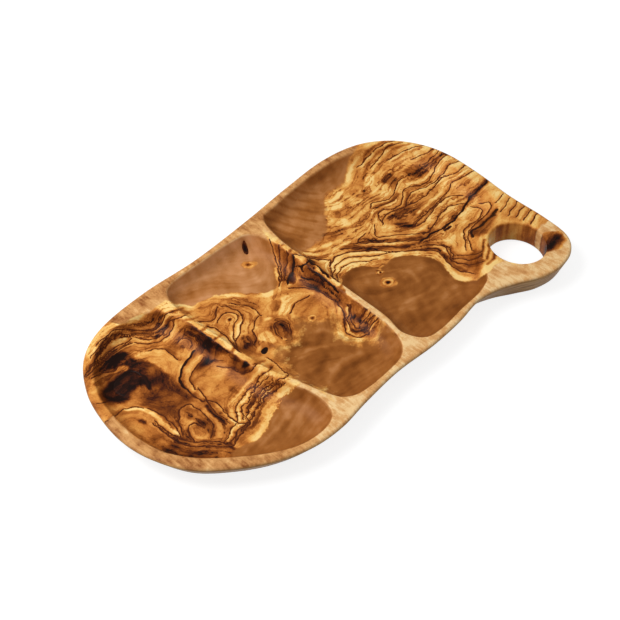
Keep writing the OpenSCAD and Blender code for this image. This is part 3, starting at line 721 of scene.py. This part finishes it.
def woodFigure(p, depth, inBasin):
    # fields of the figure at points of the surface: p on the plan, depth below the rim
    count = len(p)
    plan = p / stretch + drawnMid - np.outer(depth, lay["shift"])
    u, v = plan.T
    size, reach = lay["wander"]
    plan = plan + reach * np.stack([wobble(u, v, size, seed) for seed in (1, 2)], 1)
    size, reach, added = lay["teeth"]
    teeth = reach + added * smooth(ovalDepth(plan, *jagged, 0), -4, 8)
    plan = plan + teeth[:, None] * np.stack([wobble(u, v, size, seed) for seed in (3, 4)], 1)
    fromRim = loopDepth(p, closedCurve(rimPoints, 3))
    # sapwood zones, each with a band of cream along it in the heartwood
    plain = np.full(count, -30.0)
    cream = np.zeros(count)
    shade = np.full(count, 0.6)
    for band, soft, light, points in plainZones:
        within = loopDepth(plan, np.array(points, float))
        cream = np.maximum(cream, band * smooth(within, -5.5, -3) * (1 - smooth(within, -0.5, 0.5)))
        shade = np.where(within > -4, light, shade)
        plain = np.maximum(plain, within / soft)
    for middle, half, halfWide, angle, collar in eyeRings:
        plain = np.minimum(plain, -ovalDepth(plan, middle, half + collar, halfWide + collar, angle))
    rimPlain = np.minimum(-inBasin, rimReach - fromRim)
    for zone in heartRims:
        rimPlain = np.minimum(rimPlain, -loopDepth(plan, np.array(zone, float)))
    # heartwood: darker at the left end, paler on the worn rim and in the cream
    tone = 0.36 + 0.12 * smooth(-u, 92, 118) + 0.06 * wobble(u, v, 30, 5) + 0.04 * wobble(u, v, 11, 8)
    tone -= 0.14 * smooth(-inBasin, -0.5, 1)
    tone -= cream * np.clip(0.75 + 0.4 * wobble(u, v, 24, 9), 0.2, 1.1)
    rings = np.full(count, 0.3)
    for strength, middle, half, halfWide in ringZones:
        rings = np.maximum(rings, strength * smooth(ovalDepth(plan, middle, half, halfWide, 0), -4, 10))
    for value, soft, points in patches:
        outline = closedCurve(points, 4)
        near = nearBox(plan, outline, soft)
        paintTone(tone, near, value, smooth(loopDepth(plan[near], outline), -soft / 2, soft / 2))
    for value, middle, half, halfWide, angle in spots:
        near = nearBox(plan, np.array([middle], float), 1.5 * half + 2)
        paintTone(tone, near, value, smooth(ovalDepth(plan[near], middle, half, halfWide, angle), -0.7, 0.7))
    for value, half, paths in bands:
        for points in paths:
            path = openCurve(points, 5)
            near = nearBox(plan, path, 2 * half + 1)
            paintTone(tone, near, value, smooth(half - pathDistance(plan[near], path)[0], -0.8, 0.8))
    # drawn lines: distance to the nearest one, without and with its side, and that line's own values
    ring = np.abs(plain)
    away = np.full(count, 6.0)
    across = np.full(count, 6.0)
    lineHalf = np.full(count, 0.4)
    lineTone = np.full(count, 0.86)
    halo = np.zeros(count)
    for kind in (darkLines, blackLines):
        for points in kind["paths"]:
            path = openCurve(points, 5)
            near = nearBox(plan, path, lay["feltTo"])
            distance, left = pathDistance(plan[near], path)
            ring[near] = np.minimum(ring[near], distance)
            closer = distance < away[near]
            own = near[closer]
            away[own] = distance[closer]
            across[own] = np.where(left, distance, -distance)[closer]
            lineHalf[own], lineTone[own], halo[own] = kind["half"], kind["tone"], kind["halo"]
    # brown fades away on one side of a line, and the other side is a little paler
    brown = halo * np.exp(-away / lay["darkFade"])
    flank = np.where(across > 0, brown, -lay["pale"] * np.exp(-away / lay["paleFade"]))
    tone += flank * (1 - np.clip(tone, 0, 1))
    for change, half, paths in sapMarks:
        for points in paths:
            path = openCurve(points, 5)
            near = nearBox(plan, path, 2 * half)
            shade[near] += change * smooth(2 * half - pathDistance(plan[near], path)[0], 0, 2 * half)
    # the rim is palest at the near right and darkens to the far side and the left end
    rimShade = 0.74 - 0.28 * smooth(v - 0.1 * u, 30, 70) - 0.34 * smooth(-u, 60, 140)
    shade = np.where(inBasin < 0, rimShade, shade)
    shade += 0.08 * wobble(u, v, 26, 6) + 0.05 * wobble(u, v, 9, 7)
    return {"tone": tone, "near": away, "across": across, "lineHalf": lineHalf, "lineTone": lineTone,
            "ring": np.minimum(ring, lay["feltTo"]), "rings": rings, "grain": grainStreaks(plan),
            "plain": np.clip(np.maximum(plain, rimPlain), -8, 8), "basin": np.clip(inBasin, -8, 14),
            "shade": shade}


creaseAngle = np.radians(50)  # a sharper edge isn't shaded smooth


def makePiece(name, vertices, triangles, fields):
    # closed triangle mesh at the origin, millimetres in, with one float attribute for each field
    mesh = bpy.data.meshes.new(name)
    mesh.vertices.add(len(vertices))
    mesh.vertices.foreach_set("co", (np.asarray(vertices) * mm).astype(np.float32).ravel())
    mesh.loops.add(3 * len(triangles))
    mesh.loops.foreach_set("vertex_index", np.asarray(triangles, np.int32).ravel())
    mesh.polygons.add(len(triangles))
    mesh.polygons.foreach_set("loop_start", np.arange(0, 3 * len(triangles), 3, dtype=np.int32))
    mesh.update(calc_edges=True)
    mesh.polygons.foreach_set("use_smooth", np.ones(len(triangles), bool))
    mesh.set_sharp_from_angle(angle=creaseAngle)
    for key, values in fields.items():
        mesh.attributes.new(key, "FLOAT", "POINT").data.foreach_set("value", values.astype(np.float32))
    mesh.validate()
    piece = bpy.data.objects.new(name, mesh)
    bpy.context.collection.objects.link(piece)
    return piece


def ringEdges(start, count):
    return [(start + i, start + (i + 1) % count) for i in range(count)]


def ringBand(upper, lower):
    # two triangles for each step between two rings of equal count, facing right of the rings' run
    ahead, below = np.roll(upper, -1), np.roll(lower, -1)
    return np.vstack([np.stack([upper, lower, ahead], 1), np.stack([ahead, lower, below], 1)])


def hexGrid(low, high, spacing):
    # rows of points, every other row moved along by half a step
    rows = np.arange(low[1], high[1], spacing * np.sqrt(0.75))
    columns = np.arange(low[0], high[0], spacing)
    x = columns[None, :] + (np.arange(len(rows)) % 2)[:, None] * spacing / 2
    return np.stack([x.ravel(), np.repeat(rows, len(columns))], 1)


def triangulate(rings, loose, keep):
    # flat Delaunay mesh through closed rings and loose points; keep tells which middles stay
    points = np.vstack([*rings, loose])
    edges, start = [], 0
    for ring in rings:
        edges += ringEdges(start, len(ring))
        start += len(ring)
    found, _, faces, *_ = delaunay_2d_cdt([Vector(q) for q in points], edges, [], 0, 1e-7)
    assert len(found) == len(points)
    faces = np.array(faces)
    return points, faces[keep(points[faces].mean(1))]


def turnFaces(points, faces, up):
    # flat triangles turned to face up for 1 and down for -1
    a, b, c = (points[faces[:, k]] for k in range(3))
    wrong = up * np.cross(b - a, c - a) < 0
    faces[wrong] = faces[wrong][:, ::-1]


# Dish body: carved top as a height over the plan, side wall and hole wall as profiles round the outlines

rimLoop = np.clip(closedCurve(rimPoints, 12), -cadSize[:2] / 2, cadSize[:2] / 2)  # inside the solid's box
rimIn = leftNormal(rimLoop)
rimTop = rimLoop + board["edge"] * rimIn
around = np.linspace(0, 2 * np.pi, 132, endpoint=False)
circle = np.stack([np.cos(around), np.sin(around)], 1)
holeTop = holeMid + (holeHalf + board["holeEdge"]) * circle
spacing = board["grid"]
clear = 0.6 * spacing  # room between the grid and the rings

lipOffsets = (-1.25, -0.8, -0.35, 0.1, 0.6, 1.2, 1.9)  # rows of points over a lip, from the rim inwards
lipRings = []
for edge in (leftEdge, middleEdge, rightEdge):
    loop = closedCurve(edge, int(np.ceil(24 / spacing)))
    gaps = np.linalg.norm(np.roll(loop, -1, 0) - loop, axis=1)
    along = np.concatenate([[0], np.cumsum(gaps)])
    stations = np.linspace(0, along[-1], int(along[-1] / spacing), endpoint=False)
    closed = np.vstack([loop, loop[:1]])
    even = np.stack([np.interp(stations, along, closed[:, k]) for k in (0, 1)], 1)
    inward = leftNormal(even)
    lipRings += [even + offset * inward for offset in lipOffsets]
socketRims = [knotRing(name, 1, socket["gap"]) for name in knots]
socketFloors = [knotRing(name, socket["taper"], socket["gap"]) for name in knots]
socketMids = np.array([place(knot[0]) for knot in knots.values()])

grid = hexGrid(rimTop.min(0), rimTop.max(0), spacing)
grid = grid[loopDepth(grid, rimTop[::3]) > clear]
grid = grid[loopDepth(grid, holeTop) < -clear]
gridIn = basinDepth(grid)
grid = grid[(gridIn < lipOffsets[0] - clear) | (gridIn > lipOffsets[-1] + clear)]
lips = np.vstack(lipRings)
for ring in socketRims:
    grid = grid[loopDepth(grid, ring) < -0.5 * spacing]
    lips = lips[loopDepth(lips, ring) < -0.4 * spacing]
topRings = [rimTop, holeTop, *socketRims, *socketFloors]
top, topFaces = triangulate(
    topRings, np.vstack([socketMids, lips, grid]),
    lambda p: (loopDepth(p, rimTop) > 0) & (loopDepth(p, holeTop) < 0))
print("carved top:", len(top), "points", len(topFaces), "triangles")

topIn = basinDepth(top)
topDepth = hollow(topIn)
topZ = board["thick"] - topDepth


def sideInset():
    # rings of the side from the rim down: height, share of the lean, extra inset
    edge, toe = board["edge"], board["foot"]
    sideTop = board["thick"] - edge
    arc = np.radians([72, 54, 36, 18, 0])
    wall = ((0.86, 0.15), (0.72, 0.3), (0.56, 0.48), (0.4, 0.66), (0.25, 0.83))
    return [*((sideTop + edge * np.sin(a), 0, edge * (1 - np.cos(a))) for a in arc),
            *((sideTop * h, share, 0) for h, share in wall),
            (toe, 0.97, 0), (toe * 0.5, 1, toe * 0.14), (toe * 0.25, 1, toe * 0.35),
            (0.08, 1, toe * 0.7), (0, 1, toe)]


handleFrom, handleFull = place((80, -40)), place((120, -80))
handle = smooth(rimLoop[:, 0], handleFrom[0], handleFull[0])
handle *= smooth(-rimLoop[:, 1], -handleFrom[1], -handleFull[1])
lean = board["lean"] + (board["handleLean"] - board["lean"]) * handle
sideRings = [np.column_stack([rimLoop + (lean * share + inset)[:, None] * rimIn, np.full(len(rimLoop), z)])
             for z, share, inset in sideInset()]
# rings of the hole from the top down: how far out and how high; the lower half mirrors the upper
holeArc = np.radians([18, 36, 54, 72, 90])
holeEdge = board["holeEdge"]
holeUpper = [(holeEdge * (1 - np.sin(a)), board["thick"] - holeEdge * (1 - np.cos(a))) for a in holeArc]
holeLower = [(out, board["thick"] - z) for out, z in holeUpper[::-1]]
holeProfile = [*holeUpper, (0, board["thick"] / 2), *holeLower, (holeEdge, 0)]
holeRings = [np.column_stack([holeMid + (holeHalf + out) * circle, np.full(len(circle), z)])
             for out, z in holeProfile]

footGrid = hexGrid(rimTop.min(0), rimTop.max(0), board["footGrid"])
footRim, footHole = sideRings[-1][:, :2], holeRings[-1][:, :2]
footGrid = footGrid[(loopDepth(footGrid, footRim) > 1) & (loopDepth(footGrid, footHole) < -1)]
foot, footFaces = triangulate([footRim, footHole], footGrid,
                              lambda p: (loopDepth(p, footRim) > 0) & (loopDepth(p, footHole) < 0))

# one vertex list: top, side rings, hole rings, foot's own points
rimCount, holeCount = len(rimLoop), len(circle)
sideStart = len(top)
holeStart = sideStart + rimCount * len(sideRings)
footStart = holeStart + holeCount * len(holeRings)
sideIds = [np.arange(rimCount)]
sideIds += [sideStart + k * rimCount + np.arange(rimCount) for k in range(len(sideRings))]
holeIds = [rimCount + np.arange(holeCount)]
holeIds += [holeStart + k * holeCount + np.arange(holeCount) for k in range(len(holeRings))]
footIds = np.concatenate([sideIds[-1], holeIds[-1], footStart + np.arange(len(footGrid))])

# floors of the sockets sit a knot's depth below the face
rimEnd = rimCount + holeCount + sum(len(ring) for ring in socketRims)
midStart = rimEnd + sum(len(ring) for ring in socketFloors)
for i, ring in enumerate(socketFloors):
    floorZ = topZ[midStart + i] - socket["depth"]
    start = rimEnd + sum(len(r) for r in socketFloors[:i])
    topZ[start:start + len(ring)] = floorZ
topZ[midStart:midStart + len(socketMids)] -= socket["depth"]

# even out the scoops' creases where two walls meet on the floor
easing = {"passes": 40, "step": 0.5, "from": 5, "full": 8, "limit": 0.4}
pairs = np.vstack([topFaces[:, (0, 1)], topFaces[:, (1, 2)], topFaces[:, (2, 0)]])
pairs = np.vstack([pairs, pairs[:, ::-1]])
links = np.bincount(pairs[:, 0], minlength=len(top))
ease = easing["step"] * smooth(topIn, easing["from"], easing["full"])
ease[:midStart + len(socketMids)] = 0
for _ in range(easing["passes"]):
    mean = np.bincount(pairs[:, 0], topZ[pairs[:, 1]], len(top)) / np.maximum(links, 1)
    topZ += np.where(np.abs(mean - topZ) < easing["limit"], ease * (mean - topZ), 0)

bodyVertices = np.vstack([np.column_stack([top, topZ]), *sideRings, *holeRings,
                          np.column_stack([footGrid, np.zeros(len(footGrid))])])
turnFaces(top, topFaces, 1)
turnFaces(foot, footFaces, -1)
bodyFaces = np.vstack([
    topFaces, *(ringBand(a, b) for a, b in zip(sideIds[:-1], sideIds[1:])),
    *(ringBand(b, a) for a, b in zip(holeIds[:-1], holeIds[1:])), footIds[footFaces]])

bodyPlan = bodyVertices[:, :2]
bodyDepth = np.concatenate([topDepth, np.zeros(len(bodyVertices) - len(top))])
bodyIn = np.concatenate([topIn, np.full(len(bodyVertices) - len(top), -8.0)])
bodyFields = woodFigure(bodyPlan, bodyDepth, bodyIn)
side = np.zeros(len(bodyVertices))
side[sideStart:footStart] = smooth(board["thick"] - bodyVertices[sideStart:footStart, 2], 0.3, 2.5)
side[holeStart:footStart] = 0
side[footStart:] = 1
bodyFields["side"] = side
print("figure drawn")


# Materials

def linear(code):
    # sRGB hex to linear colour with alpha
    c = np.array([int(code[i:i + 2], 16) for i in (0, 2, 4)]) / 255
    return (*np.where(c < 0.04045, c / 12.92, ((c + 0.055) / 1.055)**2.4), 1)


def addNode(tree, kind, inputs=None, ramp=None, **settings):
    node = tree.nodes.new("ShaderNode" + kind)
    for key, value in settings.items():
        setattr(node, key, value)
    if ramp:
        stops = node.color_ramp.elements
        while len(stops) < len(ramp):
            stops.new(0.5)
        for stop, (position, code) in zip(stops, ramp):
            stop.position = position
            stop.color = linear(code)
    for key, value in (inputs or {}).items():
        if isinstance(value, bpy.types.NodeSocket):
            tree.links.new(value, node.inputs[key])
        else:
            node.inputs[key].default_value = value
    return node


def newMaterial(name):
    material = bpy.data.materials.new(name)
    material.use_nodes = True
    material.node_tree.nodes.clear()
    return material, material.node_tree


# colours by tone, from light to dark for the heartwood and from dark to light for the rest
heartRamp = [(0, "fcd588"), (0.14, "f1b863"), (0.3, "de9646"), (0.45, "c27631"), (0.6, "9a551c"),
             (0.74, "74390c"), (0.87, "481c07"), (1, "190702")]
sapRamp = [(0, "6a3608"), (0.3, "8c501c"), (0.5, "a2632b"), (0.7, "b87a44"), (1, "d29664")]
rimRamp = [(0.26, "935628"), (0.4, "c68a50"), (0.53, "e0a869"), (0.66, "f5ce94")]
sideRamp = [(0.35, "96673a"), (0.5, "c08d56"), (0.65, "d8ac74")]
# darkness over one year's ring, and over one streak of the grain
ringRamp = [(0, "505050"), (0.1, "181818"), (0.5, "383838"), (0.78, "909090"), (0.88, "f0f0f0"),
            (0.95, "ffffff"), (1, "505050")]
streakRamp = [(0, "000000"), (0.335, "181818"), (0.355, "a8a8a8"), (0.385, "303030"), (0.54, "202020"),
              (0.6, "606060"), (0.625, "ffffff"), (0.655, "e8e8e8"), (0.72, "808080"), (1, "585858")]
# sizes of the figure in millimetres, and how many rings one wave of the flow holds
figure = {"fibre": 1.1, "mottle": 6, "blotch": 9, "flow": (30, 16, 30), "streak": (1.8, 8, 4),
          "sawn": (16, 16, 1.2), "ringGap": 3, "contours": 4}


def oliveWood():
    # olive wood, carved, sanded and oiled: hard and fine, so a satin sheen over a crisp brown figure
    material, tree = newMaterial("oiled olive wood")
    spot = addNode(tree, "TexCoord").outputs["Object"]
    read = {key: addNode(tree, "Attribute", attribute_name=key).outputs["Fac"] for key in bodyFields}
    noise = {}
    for key, detail in (("fibre", 3.0), ("mottle", 3.0), ("blotch", 4.0)):
        values = {"Vector": spot, "Scale": 1000 / figure[key], "Detail": detail}
        noise[key] = addNode(tree, "TexNoise", values).outputs["Fac"]
    for key, detail, distortion in (("flow", 2.0, 0.5), ("streak", 3.0, 0.0), ("sawn", 3.0, 0.0)):
        scale = [1000 / size for size in figure[key]]
        drawn = addNode(tree, "Mapping", {"Vector": spot, "Scale": scale}).outputs["Vector"]
        values = {"Vector": drawn, "Scale": 1.0, "Detail": detail, "Distortion": distortion}
        noise[key] = addNode(tree, "TexNoise", values).outputs["Fac"]
    # noise that swings to both sides of zero
    swing = {}
    for key, source, reach in (("drift", "mottle", 1.6), ("fray", "fibre", 0.45), ("grain", "fibre", 0.1),
                               ("cloud", "flow", 0.5), ("fleck", "mottle", 0.16)):
        values = {"Value": noise[source], "To Min": -reach, "To Max": reach}
        swing[key] = addNode(tree, "MapRange", values).outputs["Result"]
    # rings are contours of a flowing field that bends along the drawn lines, darkest where a year ends
    years = addNode(tree, "Math", {0: noise["flow"], 1: figure["contours"]}, operation="MULTIPLY").outputs[0]
    values = {0: read["ring"], 1: 1 / figure["ringGap"], 2: years}
    age = addNode(tree, "Math", values, operation="MULTIPLY_ADD").outputs[0]
    year = addNode(tree, "Math", {0: age}, operation="FRACT").outputs[0]
    rise = addNode(tree, "ValToRGB", {"Fac": year}, ramp=ringRamp).outputs["Color"]
    ringed = addNode(tree, "MapRange", {"Value": rise, "To Min": -0.04, "To Max": 0.12}).outputs["Result"]
    # streaks along the grain: each has a thin dark edge, from which the brown fades
    values = {0: swing["fray"], 1: 0.6, 2: read["grain"]}
    stripe = addNode(tree, "Math", values, operation="MULTIPLY_ADD").outputs[0]
    values = {"Value": stripe, "From Min": -1.4, "From Max": 1.4, "To Min": -0.13, "To Max": 0.13}
    brown = addNode(tree, "MapRange", values).outputs["Result"]
    sweep = addNode(tree, "MapRange", {"Value": stripe, "From Min": -2.0, "From Max": 2.0}).outputs["Result"]
    streakTone = addNode(tree, "ValToRGB", {"Fac": sweep}, ramp=streakRamp).outputs["Color"]
    dark = addNode(tree, "MapRange", {"Value": streakTone, "To Min": -0.02, "To Max": 0.34}).outputs["Result"]
    for change in (brown, dark):
        ringed = addNode(tree, "Math", {0: ringed, 1: change}, operation="ADD").outputs[0]
    values = {0: ringed, 1: read["rings"], 2: read["tone"]}
    tone = addNode(tree, "Math", values, operation="MULTIPLY_ADD").outputs[0]
    for key in ("cloud", "fleck", "grain"):
        tone = addNode(tree, "Math", {0: tone, 1: swing[key]}, operation="ADD").outputs[0]
    # drawn lines: thin where the signed distance passes zero, and only where a line really is near
    apart = addNode(tree, "Math", {0: read["across"]}, operation="ABSOLUTE").outputs[0]
    apart = addNode(tree, "Math", {0: apart, 1: swing["fray"]}, operation="ADD").outputs[0]
    edge = addNode(tree, "Math", {0: read["lineHalf"], 1: apart}, operation="SUBTRACT").outputs[0]
    values = {"Value": edge, "From Min": -0.28, "From Max": 0.22}
    onLine = addNode(tree, "MapRange", values, interpolation_type="SMOOTHSTEP").outputs["Result"]
    values = {"Value": read["near"], "From Min": 1.2, "From Max": 0.8}
    close = addNode(tree, "MapRange", values).outputs["Result"]
    onLine = addNode(tree, "Math", {0: onLine, 1: close}, operation="MULTIPLY").outputs[0]
    tone = addNode(tree, "Mix", {0: onLine, 2: tone, 3: read["lineTone"]}).outputs[0]
    heart = addNode(tree, "ValToRGB", {"Fac": tone}, ramp=heartRamp).outputs["Color"]
    # sapwood: plain brown in the hollows, paler with short streaks across the rim
    sapTone = read["shade"]
    for change, share in ((swing["cloud"], 0.4), (brown, -0.5), (swing["grain"], 0.6), (rise, -0.04)):
        values = {0: change, 1: share, 2: sapTone}
        sapTone = addNode(tree, "Math", values, operation="MULTIPLY_ADD").outputs[0]
    sap = addNode(tree, "ValToRGB", {"Fac": sapTone}, ramp=sapRamp).outputs["Color"]
    rimTone = addNode(tree, "Mix", {0: 0.4, 2: noise["blotch"], 3: noise["streak"]}).outputs[0]
    rimTone = addNode(tree, "Math", {0: rimTone, 1: swing["grain"]}, operation="ADD").outputs[0]
    values = {0: read["shade"], 1: 0.5, 2: rimTone}
    rimTone = addNode(tree, "Math", values, operation="MULTIPLY_ADD").outputs[0]
    rimTone = addNode(tree, "Math", {0: rimTone, 1: 0.3}, operation="SUBTRACT").outputs[0]
    rim = addNode(tree, "ValToRGB", {"Fac": rimTone}, ramp=rimRamp).outputs["Color"]
    values = {"Value": read["basin"], "From Min": -0.6, "From Max": 0.9}
    within = addNode(tree, "MapRange", values).outputs["Result"]
    plainColour = addNode(tree, "Mix", {0: within, 6: rim, 7: sap}, data_type="RGBA").outputs[2]
    # heartwood meets sapwood along a ragged edge
    ragged = addNode(tree, "Math", {0: swing["fray"], 1: swing["drift"]}, operation="ADD").outputs[0]
    ragged = addNode(tree, "Math", {0: read["plain"], 1: ragged}, operation="ADD").outputs[0]
    values = {"Value": ragged, "From Min": -0.5, "From Max": 0.6}
    onPlain = addNode(tree, "MapRange", values).outputs["Result"]
    colour = addNode(tree, "Mix", {0: onPlain, 6: heart, 7: plainColour}, data_type="RGBA").outputs[2]
    # the sawn side is drier and greyer than the oiled face
    sawn = addNode(tree, "ValToRGB", {"Fac": noise["sawn"]}, ramp=sideRamp).outputs["Color"]
    colour = addNode(tree, "Mix", {0: read["side"], 6: colour, 7: sawn}, data_type="RGBA").outputs[2]
    values = {"Height": noise["fibre"], "Strength": 0.25, "Distance": 0.0001}
    skin = addNode(tree, "Bump", values).outputs["Normal"]
    values = {"Value": noise["mottle"], "To Min": 0.42, "To Max": 0.54}
    sheen = addNode(tree, "MapRange", values).outputs["Result"]
    values = {"Base Color": colour, "Normal": skin, "Roughness": sheen, "IOR": 1.45, "Specular IOR Level": 0.14}
    shader = addNode(tree, "BsdfPrincipled", values)
    addNode(tree, "OutputMaterial", {"Surface": shader.outputs[0]})
    return material


body = makePiece("dish_body_carved", bodyVertices, bodyFaces, bodyFields)
woodMaterial = oliveWood()
body.data.materials.append(woodMaterial)
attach(body, "root")
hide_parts("dish_body")
print("dish body:", len(bodyFaces), "triangles")

shares = np.array([0.12, 0.3, 0.48, 0.66, 0.82, 0.94, 1.0])  # of a knot's size, ring by ring over its face
for name, (middle, *_, heartTone, edgeTone, blend) in knots.items():
    # rings from the heart over the face, round the edge and down the tapered side
    faceRings = [knotRing(name, share, 0) for share in shares]
    count = len(faceRings[0])
    faceZ = [carvedZ(ring) - socket["edgeDrop"] * (share == 1) for share, ring in zip(shares, faceRings)]
    heartZ = carvedZ(place(middle)[None])[0]
    lowRing = knotRing(name, socket["taper"], 0)
    lowZ = heartZ - socket["depth"]
    rings = [np.column_stack([ring, z]) for ring, z in zip(faceRings, faceZ)]
    rings += [np.column_stack([lowRing, np.full(count, lowZ)])]
    vertices = np.vstack([*rings, [[*place(middle), heartZ], [*place(middle), lowZ]]])
    ids = [k * count + np.arange(count) for k in range(len(rings))]
    heartId, lowId = len(rings) * count, len(rings) * count + 1
    fan = np.stack([np.full(count, heartId), ids[0], np.roll(ids[0], -1)], 1)
    lowFan = np.stack([np.full(count, lowId), np.roll(ids[-1], -1), ids[-1]], 1)
    knotBands = [ringBand(a, b) for a, b in zip(ids[:-1], ids[1:])]
    # the heart has its own tone, and the edge takes on the tone of the wood round it
    radius = np.concatenate([np.repeat([*shares, 1], count), [0, 1]])
    inBasin = basinDepth(vertices[:, :2])
    fields = woodFigure(vertices[:, :2], hollow(inBasin), inBasin)
    tone = heartTone + (edgeTone - heartTone) * smooth(radius, 0.15, 0.75)
    fields["tone"] += (tone - fields["tone"]) * (1 - blend * smooth(radius, 0.5, 1))
    fields["plain"][:] = -8
    fields["side"] = np.zeros(len(vertices))
    piece = makePiece(name + "_plug", vertices, np.vstack([fan, *knotBands, lowFan]), fields)
    piece.data.materials.append(woodMaterial)
    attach(piece, "root")
    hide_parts(name)
print("knots set:", len(knots))

# Floor, light and camera

studio = {"floor": 4, "drop": 0.0002, "world": 0.42, "key": 8.4, "fill": 1.2}


def whiteFloor():
    # white paper sweep: white to the eye, and it keeps the dish's soft shadow
    material, tree = newMaterial("white paper sweep")
    path = addNode(tree, "LightPath").outputs
    seen = path["Is Camera Ray"]
    for ray in ("Is Glossy Ray", "Is Transmission Ray"):
        seen = addNode(tree, "Math", {0: seen, 1: path[ray]}, operation="MAXIMUM").outputs[0]
    strength = addNode(tree, "MapRange", {"Value": seen, "To Min": 0.0, "To Max": 0.82}).outputs["Result"]
    glow = addNode(tree, "Emission", {"Strength": strength}).outputs[0]
    paper = addNode(tree, "BsdfDiffuse", {"Color": (0.3, 0.3, 0.3, 1)}).outputs[0]
    both = addNode(tree, "AddShader", {0: glow, 1: paper}).outputs[0]
    addNode(tree, "OutputMaterial", {"Surface": both})
    return material


reach, drop = studio["floor"] / 2, studio["drop"]  # the drop keeps the floor clear of the foot
corners = [(x * reach, y * reach, -drop) for x, y in ((-1, -1), (1, -1), (1, 1), (-1, 1))]
floorMesh = bpy.data.meshes.new("floor")
floorMesh.from_pydata(corners, [], [(0, 1, 2, 3)])
floor = bpy.data.objects.new("floor", floorMesh)
floorMesh.materials.append(whiteFloor())
bpy.context.collection.objects.link(floor)

world = bpy.data.worlds.new("studio")
world.use_nodes = True
world.node_tree.nodes.clear()
seen = addNode(world.node_tree, "LightPath").outputs["Is Camera Ray"]
values = {"Value": seen, "To Min": studio["world"], "To Max": 1.0}
level = addNode(world.node_tree, "MapRange", values).outputs["Result"]
sky = addNode(world.node_tree, "Background", {"Strength": level}).outputs[0]
addNode(world.node_tree, "OutputWorld", {"Surface": sky})
bpy.context.scene.world = world


def softbox(name, position, size, power):
    lamp = bpy.data.lights.new(name, "AREA")
    lamp.size = size
    lamp.energy = power
    holder = bpy.data.objects.new(name, lamp)
    holder.location = position
    holder.rotation_euler = (-Vector(position)).to_track_quat("-Z", "Y").to_euler()
    bpy.context.collection.objects.link(holder)


softbox("key softbox", (-0.45, 0.4, 0.85), 0.6, studio["key"])
softbox("side fill", (0.7, -0.5, 0.8), 0.9, studio["fill"])

# the photo's camera: angles in degrees, distance in millimetres, focal length and frame in pixels
view = {"elevation": 47, "turn": 46.5, "distance": 1000, "focal": 1508.3, "frame": 620,
        "aimPixel": (305, 305), "sensor": 36}
tilt, turn = np.radians(view["elevation"]), np.radians(view["turn"])
ahead = np.array([np.cos(tilt) * np.sin(turn), np.cos(tilt) * np.cos(turn), -np.sin(tilt)])
right = np.array([np.cos(turn), -np.sin(turn), 0])
up = np.cross(right, ahead)
aim = np.array([*place((0, 0)), board["thick"]])
eye = aim - view["distance"] * ahead
offset = (view["frame"] / 2 - np.array(view["aimPixel"])) / view["focal"]
ahead = ahead + offset[0] * right - offset[1] * up
ahead /= np.linalg.norm(ahead)
right = right - (right @ ahead) * ahead
right /= np.linalg.norm(right)
up = np.cross(right, ahead)
camera = bpy.data.objects.new("camera", bpy.data.cameras.new("camera"))
camera.data.sensor_width = view["sensor"]
camera.data.lens = view["sensor"] * view["focal"] / view["frame"]
camera.data.clip_end = 20
turned = Matrix([right, up, -ahead]).transposed().to_4x4()
camera.matrix_world = Matrix.Translation(Vector(eye * mm)) @ turned
bpy.context.collection.objects.link(camera)
bpy.context.scene.camera = camera
bpy.context.scene.view_settings.view_transform = "Standard"

print("scene ready")
